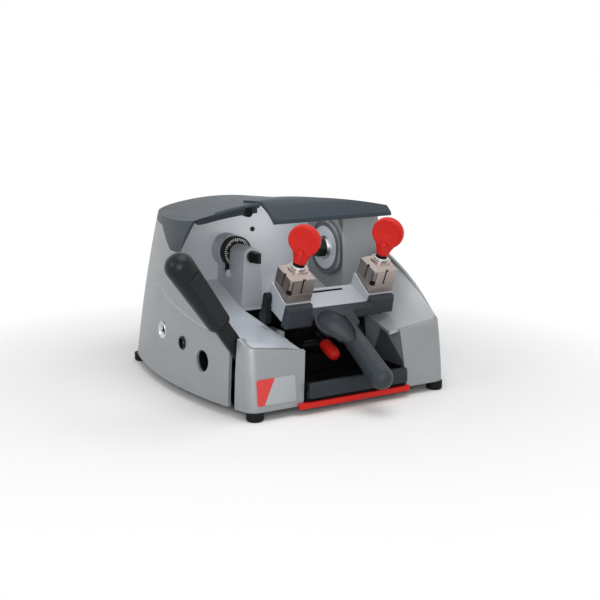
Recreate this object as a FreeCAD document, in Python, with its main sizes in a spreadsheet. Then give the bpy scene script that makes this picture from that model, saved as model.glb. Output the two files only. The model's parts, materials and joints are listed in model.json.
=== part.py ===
"""Bench key duplicating machine: casing, cutter head, tracer, tilting two-clamp carriage and its drives."""

import FreeCAD, Part
import math
import os
import Sketcher

doc = FreeCAD.newDocument("KeyDuplicator")
sheet = doc.addObject("Spreadsheet::Sheet", "Sizes")


class Size:
    """A number together with the formula that ties it to the sheet."""

    def __init__(self, value, formula):
        self.value = value
        self.formula = formula

    def __add__(self, other):
        other = as_size(other)
        return Size(self.value + other.value, f"({self.formula} + {other.formula})")

    def __radd__(self, other):
        return as_size(other) + self

    def __sub__(self, other):
        other = as_size(other)
        return Size(self.value - other.value, f"({self.formula} - {other.formula})")

    def __rsub__(self, other):
        return as_size(other) - self

    def __mul__(self, other):
        other = as_size(other)
        return Size(self.value * other.value, f"({self.formula} * {other.formula})")

    def __rmul__(self, other):
        return as_size(other) * self

    def __truediv__(self, other):
        other = as_size(other)
        return Size(self.value / other.value, f"({self.formula} / {other.formula})")

    def __rtruediv__(self, other):
        return as_size(other) / self

    def __neg__(self):
        return Size(-self.value, f"(0 - {self.formula})")


def as_size(number):
    """Let a plain number stand beside sheet sizes in a formula."""
    if isinstance(number, Size):
        return number
    return Size(float(number), repr(float(number)))


def sine(angle):
    """Sine of an angle in degrees."""
    angle = as_size(angle)
    return Size(math.sin(math.radians(angle.value)), f"sin({angle.formula})")


def cosine(angle):
    """Cosine of an angle in degrees."""
    angle = as_size(angle)
    return Size(math.cos(math.radians(angle.value)), f"cos({angle.formula})")


def root(number):
    """Square root."""
    return Size(math.sqrt(number.value), f"sqrt({number.formula})")


def size(name, value):
    """Add one driving dimension to the sheet and return it."""
    size.rows += 1
    sheet.set(f"A{size.rows}", name)
    sheet.set(f"B{size.rows}", str(value))
    sheet.setAlias(f"B{size.rows}", name)
    return Size(float(value), f"Sizes.{name}")


size.rows = 0


# Place of the casing's centre from the part's origin, and general fits
frame_x = size("frame_x", 35.4)
frame_y = size("frame_y", 27.6)
running_gap = size("running_gap", 0.05)
fit_gap = size("fit_gap", 0.02)
free_gap = size("free_gap", 0.4)

# Casing: plan outline at the bottom, lean of its walls, and feet
foot_height = size("foot_height", 12)
foot_diameter = size("foot_diameter", 22)
foot_pitch_x = size("foot_pitch_x", 280)
foot_pitch_y = size("foot_pitch_y", 349)
casing_front = size("casing_front", 184)
casing_rear = size("casing_rear", 190)
front_half_width = size("front_half_width", 149)
rear_half_width = size("rear_half_width", 143)
side_bulge = size("side_bulge", 28)
casing_wall = size("casing_wall", 4)
waist_height = size("waist_height", 110)
waist_side_lean = size("waist_side_lean", 15)
waist_cheek_lean = size("waist_cheek_lean", 3)
waist_front_lean = size("waist_front_lean", 11)
crown_side_lean = size("crown_side_lean", 50)
crown_cheek_lean = size("crown_cheek_lean", 25)
crown_front_lean = size("crown_front_lean", 42)
rear_corner = size("rear_corner", 24)
front_corner = size("front_corner", 12)
floor_thickness = size("floor_thickness", 4)
floor_setback = size("floor_setback", 6)
foot_chamfer = size("foot_chamfer", 2)

# Shoulder line of the side walls and the cover's ear above it
ear_rear = size("ear_rear", 44)
ear_front = size("ear_front", 13)
ear_low = size("ear_low", 186)
skirt_rear = size("skirt_rear", 105)
skirt_height = size("skirt_height", 212)
cover_front = size("cover_front", 25)
ear_top = size("ear_top", 238)
shoulder_mid_y = size("shoulder_mid_y", 66)
shoulder_mid_z = size("shoulder_mid_z", 155)
shoulder_low_y = size("shoulder_low_y", 149)
shoulder_low_z = size("shoulder_low_z", 104)
cheek_top = size("cheek_top", 92)

# Openings in the casing
lever_slot_y = size("lever_slot_y", 147)
lever_slot_width = size("lever_slot_width", 13)
cavity_left = size("cavity_left", 76)
cavity_right = size("cavity_right", 88)
cavity_lean = size("cavity_lean", 8.5)
rear_panel_half = size("rear_panel_half", 88)
cap_hole = size("cap_hole", 24)
cap_y = size("cap_y", 37)
cap_z = size("cap_z", 76.5)
bush_hole = size("bush_hole", 18)
bush_y = size("bush_y", 31)
bush_z = size("bush_z", 73)
access_hole = size("access_hole", 28)
access_y = size("access_y", 84)
access_z = size("access_z", 60)

# Inner wall, ramp and decks
wall_y = size("wall_y", 70)
wall_thickness = size("wall_thickness", 4)
ramp_top = size("ramp_top", 133)
ramp_front = size("ramp_front", 7)
ramp_low = size("ramp_low", 104)
deck_front = size("deck_front", 97)
deck_thickness = size("deck_thickness", 4)
lip_overhang = size("lip_overhang", 17.5)
lip_front = size("lip_front", 87.5)
lip_middle = size("lip_middle", 97)
lip_rear = size("lip_rear", 112)
crease_front_x = size("crease_front_x", 98)
crease_middle_x = size("crease_middle_x", 126)
crease_rear_x = size("crease_rear_x", 134)
crease_front = size("crease_front", 91)
crease_middle = size("crease_middle", 119)
crease_rear = size("crease_rear", 146)
brim_front = size("brim_front", 92)
brim_middle = size("brim_middle", 153)
brim_rear = size("brim_rear", 190)
rim_low = size("rim_low", 90.5)
cavity_wall_end = size("cavity_wall_end", 92)

# Cutter, its spindle and its head
cutter_diameter = size("cutter_diameter", 80)
cutter_width = size("cutter_width", 5)
cutter_bevel = size("cutter_bevel", 0.8)
cutter_y = size("cutter_y", 12)
cutter_z = size("cutter_z", 175)
spindle_diameter = size("spindle_diameter", 15)
spindle_stub = size("spindle_stub", 3)
nut_width = size("nut_width", 24)
nut_length = size("nut_length", 10)
hub_diameter = size("hub_diameter", 34)
hub_length = size("hub_length", 4)
head_front = size("head_front", 24)
head_wall = size("head_wall", 5)
head_gap = size("head_gap", 3.5)
head_top = size("head_top", 226)
bearing_diameter = size("bearing_diameter", 35)
bearing_width = size("bearing_width", 11)
bearing_span = size("bearing_span", 38)
bearing_seat = size("bearing_seat", 6)

# Motor and belt
motor_diameter = size("motor_diameter", 88)
motor_length = size("motor_length", 130)
motor_y = size("motor_y", 128)
motor_z = size("motor_z", 78)
motor_left = size("motor_left", 80)
motor_shaft_diameter = size("motor_shaft_diameter", 12)
motor_pulley_diameter = size("motor_pulley_diameter", 52)
spindle_pulley_diameter = size("spindle_pulley_diameter", 40)
pulley_width = size("pulley_width", 14)
pulley_gap = size("pulley_gap", 3)
belt_width = size("belt_width", 10)
belt_thickness = size("belt_thickness", 3)
belt_gap = size("belt_gap", 0.3)
motor_mount_length = size("motor_mount_length", 90)
motor_mount_width = size("motor_mount_width", 56)

# Tracer
tracer_x = size("tracer_x", 50)
cutter_pitch = size("cutter_pitch", 132)
station_pitch = size("station_pitch", 129.4)
pillar_low_half = size("pillar_low_half", 17)
barrel_radius = size("barrel_radius", 12.5)
tracer_diameter = size("tracer_diameter", 16)
blade_length = size("blade_length", 16)
blade_width = size("blade_width", 5)
blade_height = size("blade_height", 14)
dial_diameter = size("dial_diameter", 45)
dial_width = size("dial_width", 10)
dial_front = size("dial_front", 36)
dial_boss = size("dial_boss", 24)
index_width = size("index_width", 7)
index_height = size("index_height", 10)

# Cover and hood
cover_thickness = size("cover_thickness", 3)
crown_apex = size("crown_apex", 250)
crown_margin = size("crown_margin", 12)
crown_height = crown_apex + crown_margin
crown_edge = size("crown_edge", 229)
crown_half = size("crown_half", 150)
apex_fall = size("apex_fall", 12)
edge_fall = size("edge_fall", 21)
hood_step = size("hood_step", 3)
hood_left = size("hood_left", 46)
hood_right = size("hood_right", 146)
hood_rear = size("hood_rear", 24)
hood_front = size("hood_front", 60)
hood_lip = size("hood_lip", 229)
hood_bow = size("hood_bow", 12)
hood_thickness = size("hood_thickness", 4)
hood_notch_drop = size("hood_notch_drop", 17)
catch_width = size("catch_width", 12)
catch_height = size("catch_height", 24)

# Carriage pivot and shaft
pivot_y = size("pivot_y", 45)
pivot_z = size("pivot_z", 50)
carriage_tilt = size("carriage_tilt", 23)
shaft_diameter = size("shaft_diameter", 20)
shaft_left = size("shaft_left", 132)
shaft_right = size("shaft_right", 106)
bracket_width = size("bracket_width", 10)
bracket_depth = size("bracket_depth", 34)
bracket_cap = size("bracket_cap", 8)
hub_radius = size("hub_radius", 17)
leg_width = size("leg_width", 20)
left_leg = size("left_leg", 30)
right_leg = size("right_leg", 42)

# Carriage body, in its own upright frame about the pivot
arm_left = size("arm_left", 21.5)
arm_right = size("arm_right", 18)
arm_rear = size("arm_rear", 7)
arm_depth = size("arm_depth", 42)
clamp_base = size("clamp_base", 109.5)
arm_height = size("arm_height", 25.5)
lip_width = size("lip_width", 2)
lip_rise = size("lip_rise", 9)
plate_drop = size("plate_drop", 9.5)
plate_thickness = size("plate_thickness", 8)
plate_slot_length = size("plate_slot_length", 50)
plate_slot_width = size("plate_slot_width", 5)
block_reach = size("block_reach", 13)
block_top_reach = size("block_top_reach", 8)
block_fall = size("block_fall", 1.5)
cover_rounding = size("cover_rounding", 3.5)
cover_bar_depth = size("cover_bar_depth", 10)
handle_x = size("handle_x", 11)
handle_z = size("handle_z", 98)
handle_drop = size("handle_drop", 5)
dish_diameter = size("dish_diameter", 44)
dish_offset = size("dish_offset", 23)
dish_setback = size("dish_setback", 3)
dish_height = size("dish_height", 14)
dish_lip = size("dish_lip", 2.5)
grip_length = size("grip_length", 109)
grip_rise = size("grip_rise", 1.5)
grip_width = size("grip_width", 29)
grip_height = size("grip_height", 27)
GRIP_TAPER = ((0.78, 0), (0.9, 0.35), (1, 0.72), (0.93, 0.92), (0.6, 1))

# Clamps and their knobs
clamp_size = size("clamp_size", 37)
clamp_height = size("clamp_height", 34)
clamp_chamfer = size("clamp_chamfer", 5)
jaw_split = size("jaw_split", 12.5)
jaw_gap = size("jaw_gap", 0.5)
jaw_travel = size("jaw_travel", 3)
stud_diameter = size("stud_diameter", 10)
stud_root = size("stud_root", 12)
stud_reach = size("stud_reach", 20)
jaw_boss_diameter = size("jaw_boss_diameter", 27)
jaw_boss_height = size("jaw_boss_height", 3)
jaw_groove = size("jaw_groove", 1.6)
jaw_flute = size("jaw_flute", 7)
washer_diameter = size("washer_diameter", 19)
washer_height = size("washer_height", 4)
spacer_diameter = size("spacer_diameter", 16)
spacer_height = size("spacer_height", 4)
knob_diameter = size("knob_diameter", 40)
knob_thickness = size("knob_thickness", 13)
knob_neck = size("knob_neck", 19)
knob_height = size("knob_height", 52.5)
knob_rounding = size("knob_rounding", 4)
knob_turn = size("knob_turn", 31)

# Shoulder gauge and lock knob on the carriage
gauge_rod_diameter = size("gauge_rod_diameter", 8)
gauge_pin_length = size("gauge_pin_length", 15)
gauge_y = size("gauge_y", 12)
gauge_drop = size("gauge_drop", 10.5)
gauge_half_width = size("gauge_half_width", 6)
gauge_width = size("gauge_width", 7.5)
gauge_length = size("gauge_length", 33)
gauge_slope = size("gauge_slope", 79)
lock_x = size("lock_x", 8)
lock_z = size("lock_z", 36)
lock_pin_diameter = size("lock_pin_diameter", 8)
lock_pin_reach = size("lock_pin_reach", 12)
lock_knob_diameter = size("lock_knob_diameter", 15)
lock_knob_length = size("lock_knob_length", 50)
lock_web_depth = size("lock_web_depth", 16)
lock_web_height = size("lock_web_height", 26)
lock_web_setback = size("lock_web_setback", 4)

# Traverse sleeve, rack and lever
sleeve_length = size("sleeve_length", 42)
sleeve_radius = size("sleeve_radius", 16)
sleeve_arm_inset = size("sleeve_arm_inset", 10)
lever_x = size("lever_x", 108)
lever_z = size("lever_z", 28)
lever_lean = size("lever_lean", 34.7)
lever_shaft_diameter = size("lever_shaft_diameter", 12)
lever_shaft_end = size("lever_shaft_end", 4)
lever_arm_width = size("lever_arm_width", 20)
lever_arm_thickness = size("lever_arm_thickness", 8)
lever_arm_length = size("lever_arm_length", 118)
lever_grip_lap = size("lever_grip_lap", 8)
lever_grip_length = size("lever_grip_length", 114)
lever_grip_low = size("lever_grip_low", 30)
lever_grip_top = size("lever_grip_top", 38)
sector_radius = size("sector_radius", 45)
sector_teeth = size("sector_teeth", 45)
sector_y = size("sector_y", 74)
sector_width = size("sector_width", 8)
tooth_height = size("tooth_height", 1.4)
tooth_play = size("tooth_play", 0.5)
rack_height = size("rack_height", 8)
TOOTH_ROOT = 1.25
PRESSURE_ANGLE = 20
RACK_TEETH = range(0, 11)
SECTOR_TEETH = range(-1, 8)

# Chip tray
tray_height = size("tray_height", 23)
tray_wall = size("tray_wall", 2.5)
tray_gap = size("tray_gap", 2)
tray_rear = size("tray_rear", 66)
runner_height = size("runner_height", 1.5)
runner_width = size("runner_width", 10)
runner_front = size("runner_front", -160)
tray_bar_height = size("tray_bar_height", 10)
tray_bar_depth = size("tray_bar_depth", 6)
pull_height = size("pull_height", 8)
pull_low = size("pull_low", 8)
pull_left = size("pull_left", 13)
pull_right = size("pull_right", 6)

# Rear fittings
inlet_x = size("inlet_x", 58)
inlet_z = size("inlet_z", 42)
inlet_width = size("inlet_width", 30)
inlet_height = size("inlet_height", 24)
inlet_depth = size("inlet_depth", 20)
inlet_pin_radius = size("inlet_pin_radius", 1.5)
plate_proud = size("plate_proud", 2)
flange_lap = size("flange_lap", 3)
switch_x = size("switch_x", 22)
switch_width = size("switch_width", 22)
switch_height = size("switch_height", 30)
switch_depth = size("switch_depth", 18)
rocker_room = size("rocker_room", 2.5)
rocker_depth = size("rocker_depth", 6)
rocker_rise = size("rocker_rise", 4)
rocker_tilt = size("rocker_tilt", 8)
rocker_pin = size("rocker_pin", 3)
vent_length = size("vent_length", 60)
vent_height = size("vent_height", 4)
vent_pitch = size("vent_pitch", 10)
vent_low = size("vent_low", 90)
VENT_ROWS = 7

# Plugs in the left side and small screws
cap_face = size("cap_face", 168)
bush_face = size("bush_face", 171)
plug_length = size("plug_length", 14)
plug_proud = size("plug_proud", 1.5)
screw_diameter = size("screw_diameter", 7)
screw_inset = size("screw_inset", 14)
wall_screw_x = size("wall_screw_x", 7)
wall_screw_z = size("wall_screw_z", 201)


pieces = []
X_AXIS = FreeCAD.Vector(1, 0, 0)
Y_AXIS = FreeCAD.Vector(0, 1, 0)
Z_AXIS = FreeCAD.Vector(0, 0, 1)
ALONG = {
    "x": FreeCAD.Rotation(Y_AXIS, 90),
    "y": FreeCAD.Rotation(X_AXIS, -90),
    "z": FreeCAD.Rotation(),
}


def bind(target, path, length):
    """Tie one property of an object to a size."""
    target.setExpression(path, as_size(length).formula)


def place(target, x, y, z):
    """Tie the place of an object to three sizes."""
    for axis, value in zip("xyz", (x, y, z)):
        bind(target, f"Placement.Base.{axis}", value)


def block(name, x, y, z):
    """A rectangular block between two sizes along each axis."""
    solid = doc.addObject("Part::Box", name)
    for side, (low, high) in zip(("Length", "Width", "Height"), (x, y, z)):
        bind(solid, side, as_size(high) - low)
    place(solid, x[0], y[0], z[0])
    return solid


def rod(name, radius, axis, centre, span):
    """A cylinder along one axis; centre gives the other two coordinates in x, y, z order."""
    solid = doc.addObject("Part::Cylinder", name)
    bind(solid, "Radius", radius)
    bind(solid, "Height", as_size(span[1]) - span[0])
    solid.Placement = FreeCAD.Placement(FreeCAD.Vector(), ALONG[axis])
    start = list(centre)
    start.insert("xyz".index(axis), span[0])
    place(solid, *start)
    return solid


def bored(name, outer, inner, axis, centre, span):
    """A round tube along one axis."""
    shell = rod(name + "_outer", outer, axis, centre, span)
    bore = rod(name + "_bore", inner, axis, centre, span)
    return cut(name, shell, bore)


def fuse(name, *solids):
    """Join solids into one."""
    joined = doc.addObject("Part::MultiFuse", name)
    joined.Shapes = list(solids)
    joined.Refine = True
    return joined


def cut(name, base, *tools):
    """Take tools away from a solid."""
    result = doc.addObject("Part::Cut", name)
    result.Base = base
    result.Tool = tools[0] if len(tools) == 1 else fuse(name + "_tools", *tools)
    return result


def common(name, first, *others):
    """Keep what several solids share."""
    for index, other in enumerate(others):
        result = doc.addObject("Part::Common", f"{name}_{index}")
        result.Base = first
        result.Tool = other
        first = result
    return first


class Via:
    """The middle point of an arc between the outline points before and after it."""

    def __init__(self, u, v):
        self.point = (as_size(u), as_size(v))


def soft_corner(corner, before, after, reach):
    """Three outline points that round a corner, from the directions of the edges before and after it."""
    units = []
    for u, v in (before, after):
        length = root(as_size(u) * u + as_size(v) * v)
        units.append((u / length, v / length))
    (u0, v0), (u1, v1) = units
    lean = root((u0 + u1) * (u0 + u1) + (v0 + v1) * (v0 + v1))
    depth = reach * (1 - root(1 - lean * lean / 4)) / (lean * lean / 2)
    return [
        (corner[0] + reach * u0, corner[1] + reach * v0),
        Via(corner[0] + depth * (u0 + u1), corner[1] + depth * (v0 + v1)),
        (corner[0] + reach * u1, corner[1] + reach * v1),
    ]


def mirrored(points):
    """The same outline points on the other side of the middle, in closing order."""
    other = []
    for item in reversed(points):
        if isinstance(item, Via):
            other.append(Via(-item.point[0], item.point[1]))
        else:
            other.append((-as_size(item[0]), item[1]))
    return other


def flat(pair):
    """A sketch vector from two sizes."""
    return FreeCAD.Vector(as_size(pair[0]).value, as_size(pair[1]).value, 0)


def pin(sketch, geometry, corner, pair):
    """Hold one sketch point at two sizes from the sketch's origin."""
    for kind, value in zip(("DistanceX", "DistanceY"), pair):
        value = as_size(value)
        number = sketch.addConstraint(
            Sketcher.Constraint(kind, -1, 1, geometry, corner, value.value)
        )
        sketch.setExpression(f"Constraints[{number}]", value.formula)


def outline(body, name, role, points, offset=0):
    """A closed sketch of lines and arcs on one of the body's own planes."""
    sketch = body.newObject("Sketcher::SketchObject", name)
    plane = [item for item in body.Origin.OriginFeatures if item.Role == role][0]
    sketch.AttachmentSupport = [(plane, "")]
    sketch.MapMode = "FlatFace"
    bind(sketch, "AttachmentOffset.Base.z", offset)
    corners = [item for item in points if not isinstance(item, Via)]
    ends = []
    for index, item in enumerate(points):
        if isinstance(item, Via):
            continue
        after = points[(index + 1) % len(points)]
        if isinstance(after, Via):
            start, middle = flat(item), flat(after.point)
            goal = flat(points[(index + 2) % len(points)])
            forward = (middle - start).cross(goal - middle).z > 0
            arc = Part.Arc(start, middle, goal) if forward else Part.Arc(goal, middle, start)
            edge = sketch.addGeometry(arc)
            ends.append((edge, (1, 2) if forward else (2, 1)))
            mark = sketch.addGeometry(Part.Point(flat(after.point)), True)
            pin(sketch, mark, 1, after.point)
            sketch.addConstraint(Sketcher.Constraint("PointOnObject", mark, 1, edge))
        else:
            edge = sketch.addGeometry(Part.LineSegment(flat(item), flat(after)))
            ends.append((edge, (1, 2)))
    for index, (edge, (start, _)) in enumerate(ends):
        before, (_, finish) = ends[index - 1]
        sketch.addConstraint(Sketcher.Constraint("Coincident", before, finish, edge, start))
        pin(sketch, edge, start, corners[index])
    return sketch


ROLES = {"x": "YZ_Plane", "y": "XZ_Plane", "z": "XY_Plane"}


def slab(name, axis, points, span):
    """An outline pushed along one axis; its points are the other two coordinates in x, y, z order."""
    body = doc.addObject("PartDesign::Body", name)
    start = -as_size(span[1]) if axis == "y" else span[0]
    sketch = outline(body, name + "_outline", ROLES[axis], points, start)
    pad = body.newObject("PartDesign::Pad", name + "_pad")
    pad.Profile = sketch
    bind(pad, "Length", as_size(span[1]) - span[0])
    return body


def turned(name, points, axis="z", base=(0, 0, 0)):
    """A turned solid; its points are radius and height, and its axis starts at base."""
    body = doc.addObject("PartDesign::Body", name)
    sketch = outline(body, name + "_outline", "XZ_Plane", points)
    turn = body.newObject("PartDesign::Revolution", name + "_turn")
    turn.Profile = sketch
    turn.ReferenceAxis = (sketch, ["V_Axis"])
    body.Placement = FreeCAD.Placement(FreeCAD.Vector(), ALONG[axis])
    place(body, *base)
    return body


def loft(name, axis, sections):
    """A smooth solid through outlines at several places along one axis."""
    body = doc.addObject("PartDesign::Body", name)
    sketches = []
    for index, (points, offset) in enumerate(sections):
        offset = -as_size(offset) if axis == "y" else offset
        sketches.append(outline(body, f"{name}_section{index}", ROLES[axis], points, offset))
    skin = body.newObject("PartDesign::AdditiveLoft", name + "_loft")
    skin.Profile = sketches[0]
    skin.Sections = sketches[1:]
    return body


def rounded(body, radius, chosen):
    """Round the edges of a body that a test picks out."""
    doc.recompute()
    base = body.Tip
    names = [f"Edge{n}" for n, edge in enumerate(base.Shape.Edges, 1) if chosen(edge)]
    fillet = body.newObject("PartDesign::Fillet", body.Name + "_rounding" + base.Name[-3:])
    fillet.Base = (base, names)
    bind(fillet, "Radius", radius)
    body.Tip = fillet
    return body


def moved(name, solids, at, axis=None, angle=None):
    """Set solids at a place, turned about one axis where that is given."""
    whole = doc.addObject("Part::Compound", name)
    whole.Links = list(solids)
    if angle is not None:
        whole.Placement = FreeCAD.Placement(FreeCAD.Vector(), FreeCAD.Rotation(axis, angle.value))
        bind(whole, "Placement.Rotation.Angle", angle)
    place(whole, *at)
    return whole


def piece(label, *solids, at=(0, 0, 0), axis=None, angle=None):
    """Name a finished sub-part and set it in the part's frame."""
    whole = moved(label, solids, (frame_x + at[0], frame_y + at[1], at[2]), axis, angle)
    whole.Label = label
    pieces.append(whole)


def carried(label, *solids):
    """Name a sub-part that is drawn in the carriage's upright frame."""
    piece(label, *solids, at=(0, -pivot_y, pivot_z), axis=X_AXIS, angle=carriage_tilt)


def leaned(label, *solids):
    """Name a sub-part that is drawn upright about the lever's axis."""
    piece(label, *solids, at=(-lever_x, -lever_slot_y, lever_z), axis=Y_AXIS, angle=-lever_lean)


# Outer and inner form of the casing
def plan(inset, cheek_lean, side_lean, front_lean):
    """The casing's outline at one height, drawn in by a wall, with bulging sides and rounded corners."""
    front = -casing_front + inset + front_lean
    rear = casing_rear - inset
    front_x = front_half_width - inset - cheek_lean
    rear_x = rear_half_width - inset - side_lean
    middle_x = (front_x + rear_x) / 2 + side_bulge
    middle_y = (front + rear) / 2
    flare = 4 * side_bulge / (rear - front)
    right = [
        *soft_corner((front_x, front), (-1, 0), (flare, 1), front_corner - inset),
        Via(middle_x, middle_y),
        *soft_corner((rear_x, rear), (flare, -1), (-1, 0), rear_corner - inset),
    ]
    return right + mirrored(right)


def casing_form(name, inset):
    """The whole casing as one solid."""
    return loft(name, "z", [
        (plan(inset, 0, 0, 0), foot_height),
        (plan(inset, waist_cheek_lean, waist_side_lean, waist_front_lean), waist_height),
        (plan(inset, crown_cheek_lean, crown_side_lean, crown_front_lean), crown_height),
    ])


# Places that follow from the sizes
BEYOND = 40
FAR = side_bulge + front_half_width + BEYOND
floor_top = foot_height + floor_thickness
left_station = -tracer_x
right_station = station_pitch - tracer_x
cutter_left = cutter_pitch - tracer_x - cutter_width / 2
cutter_right = cutter_left + cutter_width
head_left = cutter_right + head_gap
slot_rear = -lever_slot_y + lever_slot_width / 2
slot_front = -lever_slot_y - lever_slot_width / 2
side_x = (front_half_width + rear_half_width) / 2 + side_bulge - waist_side_lean
front_beyond = -casing_front - BEYOND
rear_beyond = casing_rear + BEYOND

# Casing: outer and inner form, and the line where the side walls meet the cover
outer_form = casing_form("outer_form", as_size(0))
inner_form = casing_form("inner_form", casing_wall)
shell = cut("shell", outer_form, inner_form)
casing_side = slab("casing_side", "x", [
    (rear_beyond, 0),
    (rear_beyond, skirt_height),
    (skirt_rear, skirt_height),
    (ear_rear, ear_low),
    (ear_front, ear_low),
    Via(-shoulder_mid_y, shoulder_mid_z),
    (-shoulder_low_y, shoulder_low_z),
    (-casing_front + waist_front_lean, cheek_top),
    (front_beyond, cheek_top),
    (front_beyond, 0),
], (-FAR, FAR))
cover_side = slab("cover_side", "x", [
    (rear_beyond, skirt_height),
    (skirt_rear, skirt_height),
    (ear_rear, ear_low),
    (ear_front, ear_low),
    (-cover_front, ear_top),
    (-cover_front, crown_height),
    (rear_beyond, crown_height),
], (-FAR, FAR))


def side_hole(name, y, z, diameter):
    """A round hole through the left side wall."""
    return rod(name, diameter / 2, "x", (y, z), (-FAR, -side_x / 2))


left_region = block("left_region", (-FAR, -rear_panel_half), (slot_rear, rear_beyond), (0, crown_height))
piece("left_casing", cut(
    "left_wall",
    common("left_wall_blank", shell, casing_side, left_region),
    side_hole("cap_opening", cap_y, cap_z, cap_hole),
    side_hole("bush_opening", -bush_y, bush_z, bush_hole),
    side_hole("access_opening", -access_y, access_z, access_hole),
))

full_lean = cavity_lean * crown_height / cheek_top
cheek_region = slab("cheek_region", "y", [
    (-FAR, 0),
    (-cavity_left, 0),
    (full_lean - cavity_left, crown_height),
    (-FAR, crown_height),
], (front_beyond, slot_front))
piece("front_cheek", common("cheek_wall", shell, casing_side, cheek_region))

right_region = fuse(
    "right_region",
    slab("right_front_region", "y", [
        (cavity_right, 0),
        (FAR, 0),
        (FAR, crown_height),
        (cavity_right - full_lean, crown_height),
    ], (front_beyond, 0)),
    block("right_rear_region", (rear_panel_half, FAR), (0, rear_beyond), (0, crown_height)),
)
rim_cut = slab("rim_cut", "y", [
    (cavity_right - BEYOND, rim_low),
    (cavity_right, rim_low),
    (front_half_width, cheek_top),
    (front_half_width, crown_height),
    (cavity_right - BEYOND, crown_height),
], (front_beyond, -shoulder_low_y))
right_wall = cut("right_wall", common("right_wall_blank", shell, casing_side, right_region), rim_cut)
piece("right_casing", right_wall)


def rear_window(name, x, width, z, height):
    """A rectangular opening through the rear wall."""
    return block(
        name, (x - width / 2, x + width / 2), (wall_y, rear_beyond), (z - height / 2, z + height / 2)
    )


rear_region = block(
    "rear_region", (-rear_panel_half, rear_panel_half), (wall_y, rear_beyond), (0, skirt_height)
)
vents = [
    rear_window(f"vent{row}", as_size(0), vent_length, vent_low + vent_pitch * row, vent_height)
    for row in range(VENT_ROWS)
]
piece("rear_panel", cut(
    "rear_wall",
    common("rear_wall_blank", shell, rear_region),
    rear_window("inlet_window", inlet_x, inlet_width, inlet_z, inlet_height),
    rear_window("switch_window", switch_x, switch_width, inlet_z, switch_height),
    *vents,
))

# Floor and feet
floor_region = block(
    "floor_region", (-FAR, FAR), (-casing_front + floor_setback, rear_beyond), (foot_height, floor_top)
)
tray_low = floor_top + runner_height
tray_top = tray_low + tray_height
tray_lean = cavity_lean * tray_top / cheek_top
tray_left = -cavity_left + tray_gap + tray_lean
tray_right = cavity_right - tray_gap - tray_lean
runners = [
    block(f"runner{number}", (x, x + runner_width), (runner_front, -tray_rear), (foot_height, tray_low))
    for number, x in enumerate((tray_left, tray_right - runner_width))
]
piece("base_plate", fuse("floor", common("floor_sheet", inner_form, floor_region), *runners))
foot_profile = [
    (0, 0),
    (foot_diameter / 2 - foot_chamfer, 0),
    (foot_diameter / 2, foot_chamfer),
    (foot_diameter / 2, foot_height),
    (0, foot_height),
]
piece("feet", *[
    turned(f"foot_{side}{end}", foot_profile, "z", (foot_pitch_x * side / 2, foot_pitch_y * end / 2, 0))
    for side in (-1, 1)
    for end in (-1, 1)
])


# Inner wall with its ramp, and the two decks beside the cavity
def crown(name, drop):
    """Everything under the arched top, which falls towards the rear, lowered by a drop."""
    sections = []
    for y in (front_beyond, rear_beyond):
        share = y / casing_rear
        edge = crown_edge - edge_fall * share - drop
        sections.append(([
            (-crown_half, 0),
            (crown_half, 0),
            (crown_half, edge),
            Via(0, crown_apex - apex_fall * share - drop),
            (-crown_half, edge),
        ], y))
    return loft(name, "y", sections)


under_cover = crown("under_cover", cover_thickness)
wall_sheet = slab("wall_sheet", "x", [
    (wall_y + wall_thickness, crown_height),
    (wall_y, crown_height),
    (wall_y, ramp_top),
    (-ramp_front, ramp_low),
    (-ramp_front, ramp_low - deck_thickness),
    (wall_y + wall_thickness, ramp_top - deck_thickness),
], (-FAR, head_left))
piece("back_wall", common("inner_wall", wall_sheet, inner_form, under_cover))

deck_end = -casing_front + waist_front_lean
left_deck_sheet = slab("left_deck_sheet", "x", [
    (-ramp_front, ramp_low),
    (-ramp_front, ramp_low - deck_thickness),
    (deck_end, deck_front - deck_thickness),
    (front_beyond, deck_front - deck_thickness),
    (front_beyond, deck_front),
    (deck_end, deck_front),
], (-FAR, cavity_lean - cavity_left))
left_cavity_wall = slab("left_cavity_wall", "y", [
    (-cavity_left - wall_thickness, floor_top),
    (-cavity_left, floor_top),
    (cavity_lean - cavity_left, deck_front - deck_thickness / 2),
    (cavity_lean - cavity_left - wall_thickness, deck_front - deck_thickness / 2),
], (front_beyond, -cavity_wall_end))
lever_gate = block(
    "lever_gate", (-FAR, -lever_x - 1.5 * lever_arm_width), (slot_front, slot_rear), (floor_top, ramp_low)
)
left_deck_blank = fuse("left_deck_blank", left_deck_sheet, left_cavity_wall)
piece("left_deck", cut("left_deck_gated", common("left_deck_form", left_deck_blank, inner_form), lever_gate))


def scoop(lip_x, lip_z, crease_x, crease_z, brim_z):
    """Section of the scooped right deck at one place, from its lip over a crease to its brim."""
    brim_x = front_half_width + side_bulge
    return [
        (lip_x, lip_z),
        (crease_x, crease_z),
        (brim_x, brim_z),
        (brim_x, brim_z - deck_thickness),
        (crease_x, crease_z - deck_thickness),
        (lip_x, lip_z - deck_thickness),
    ]


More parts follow.
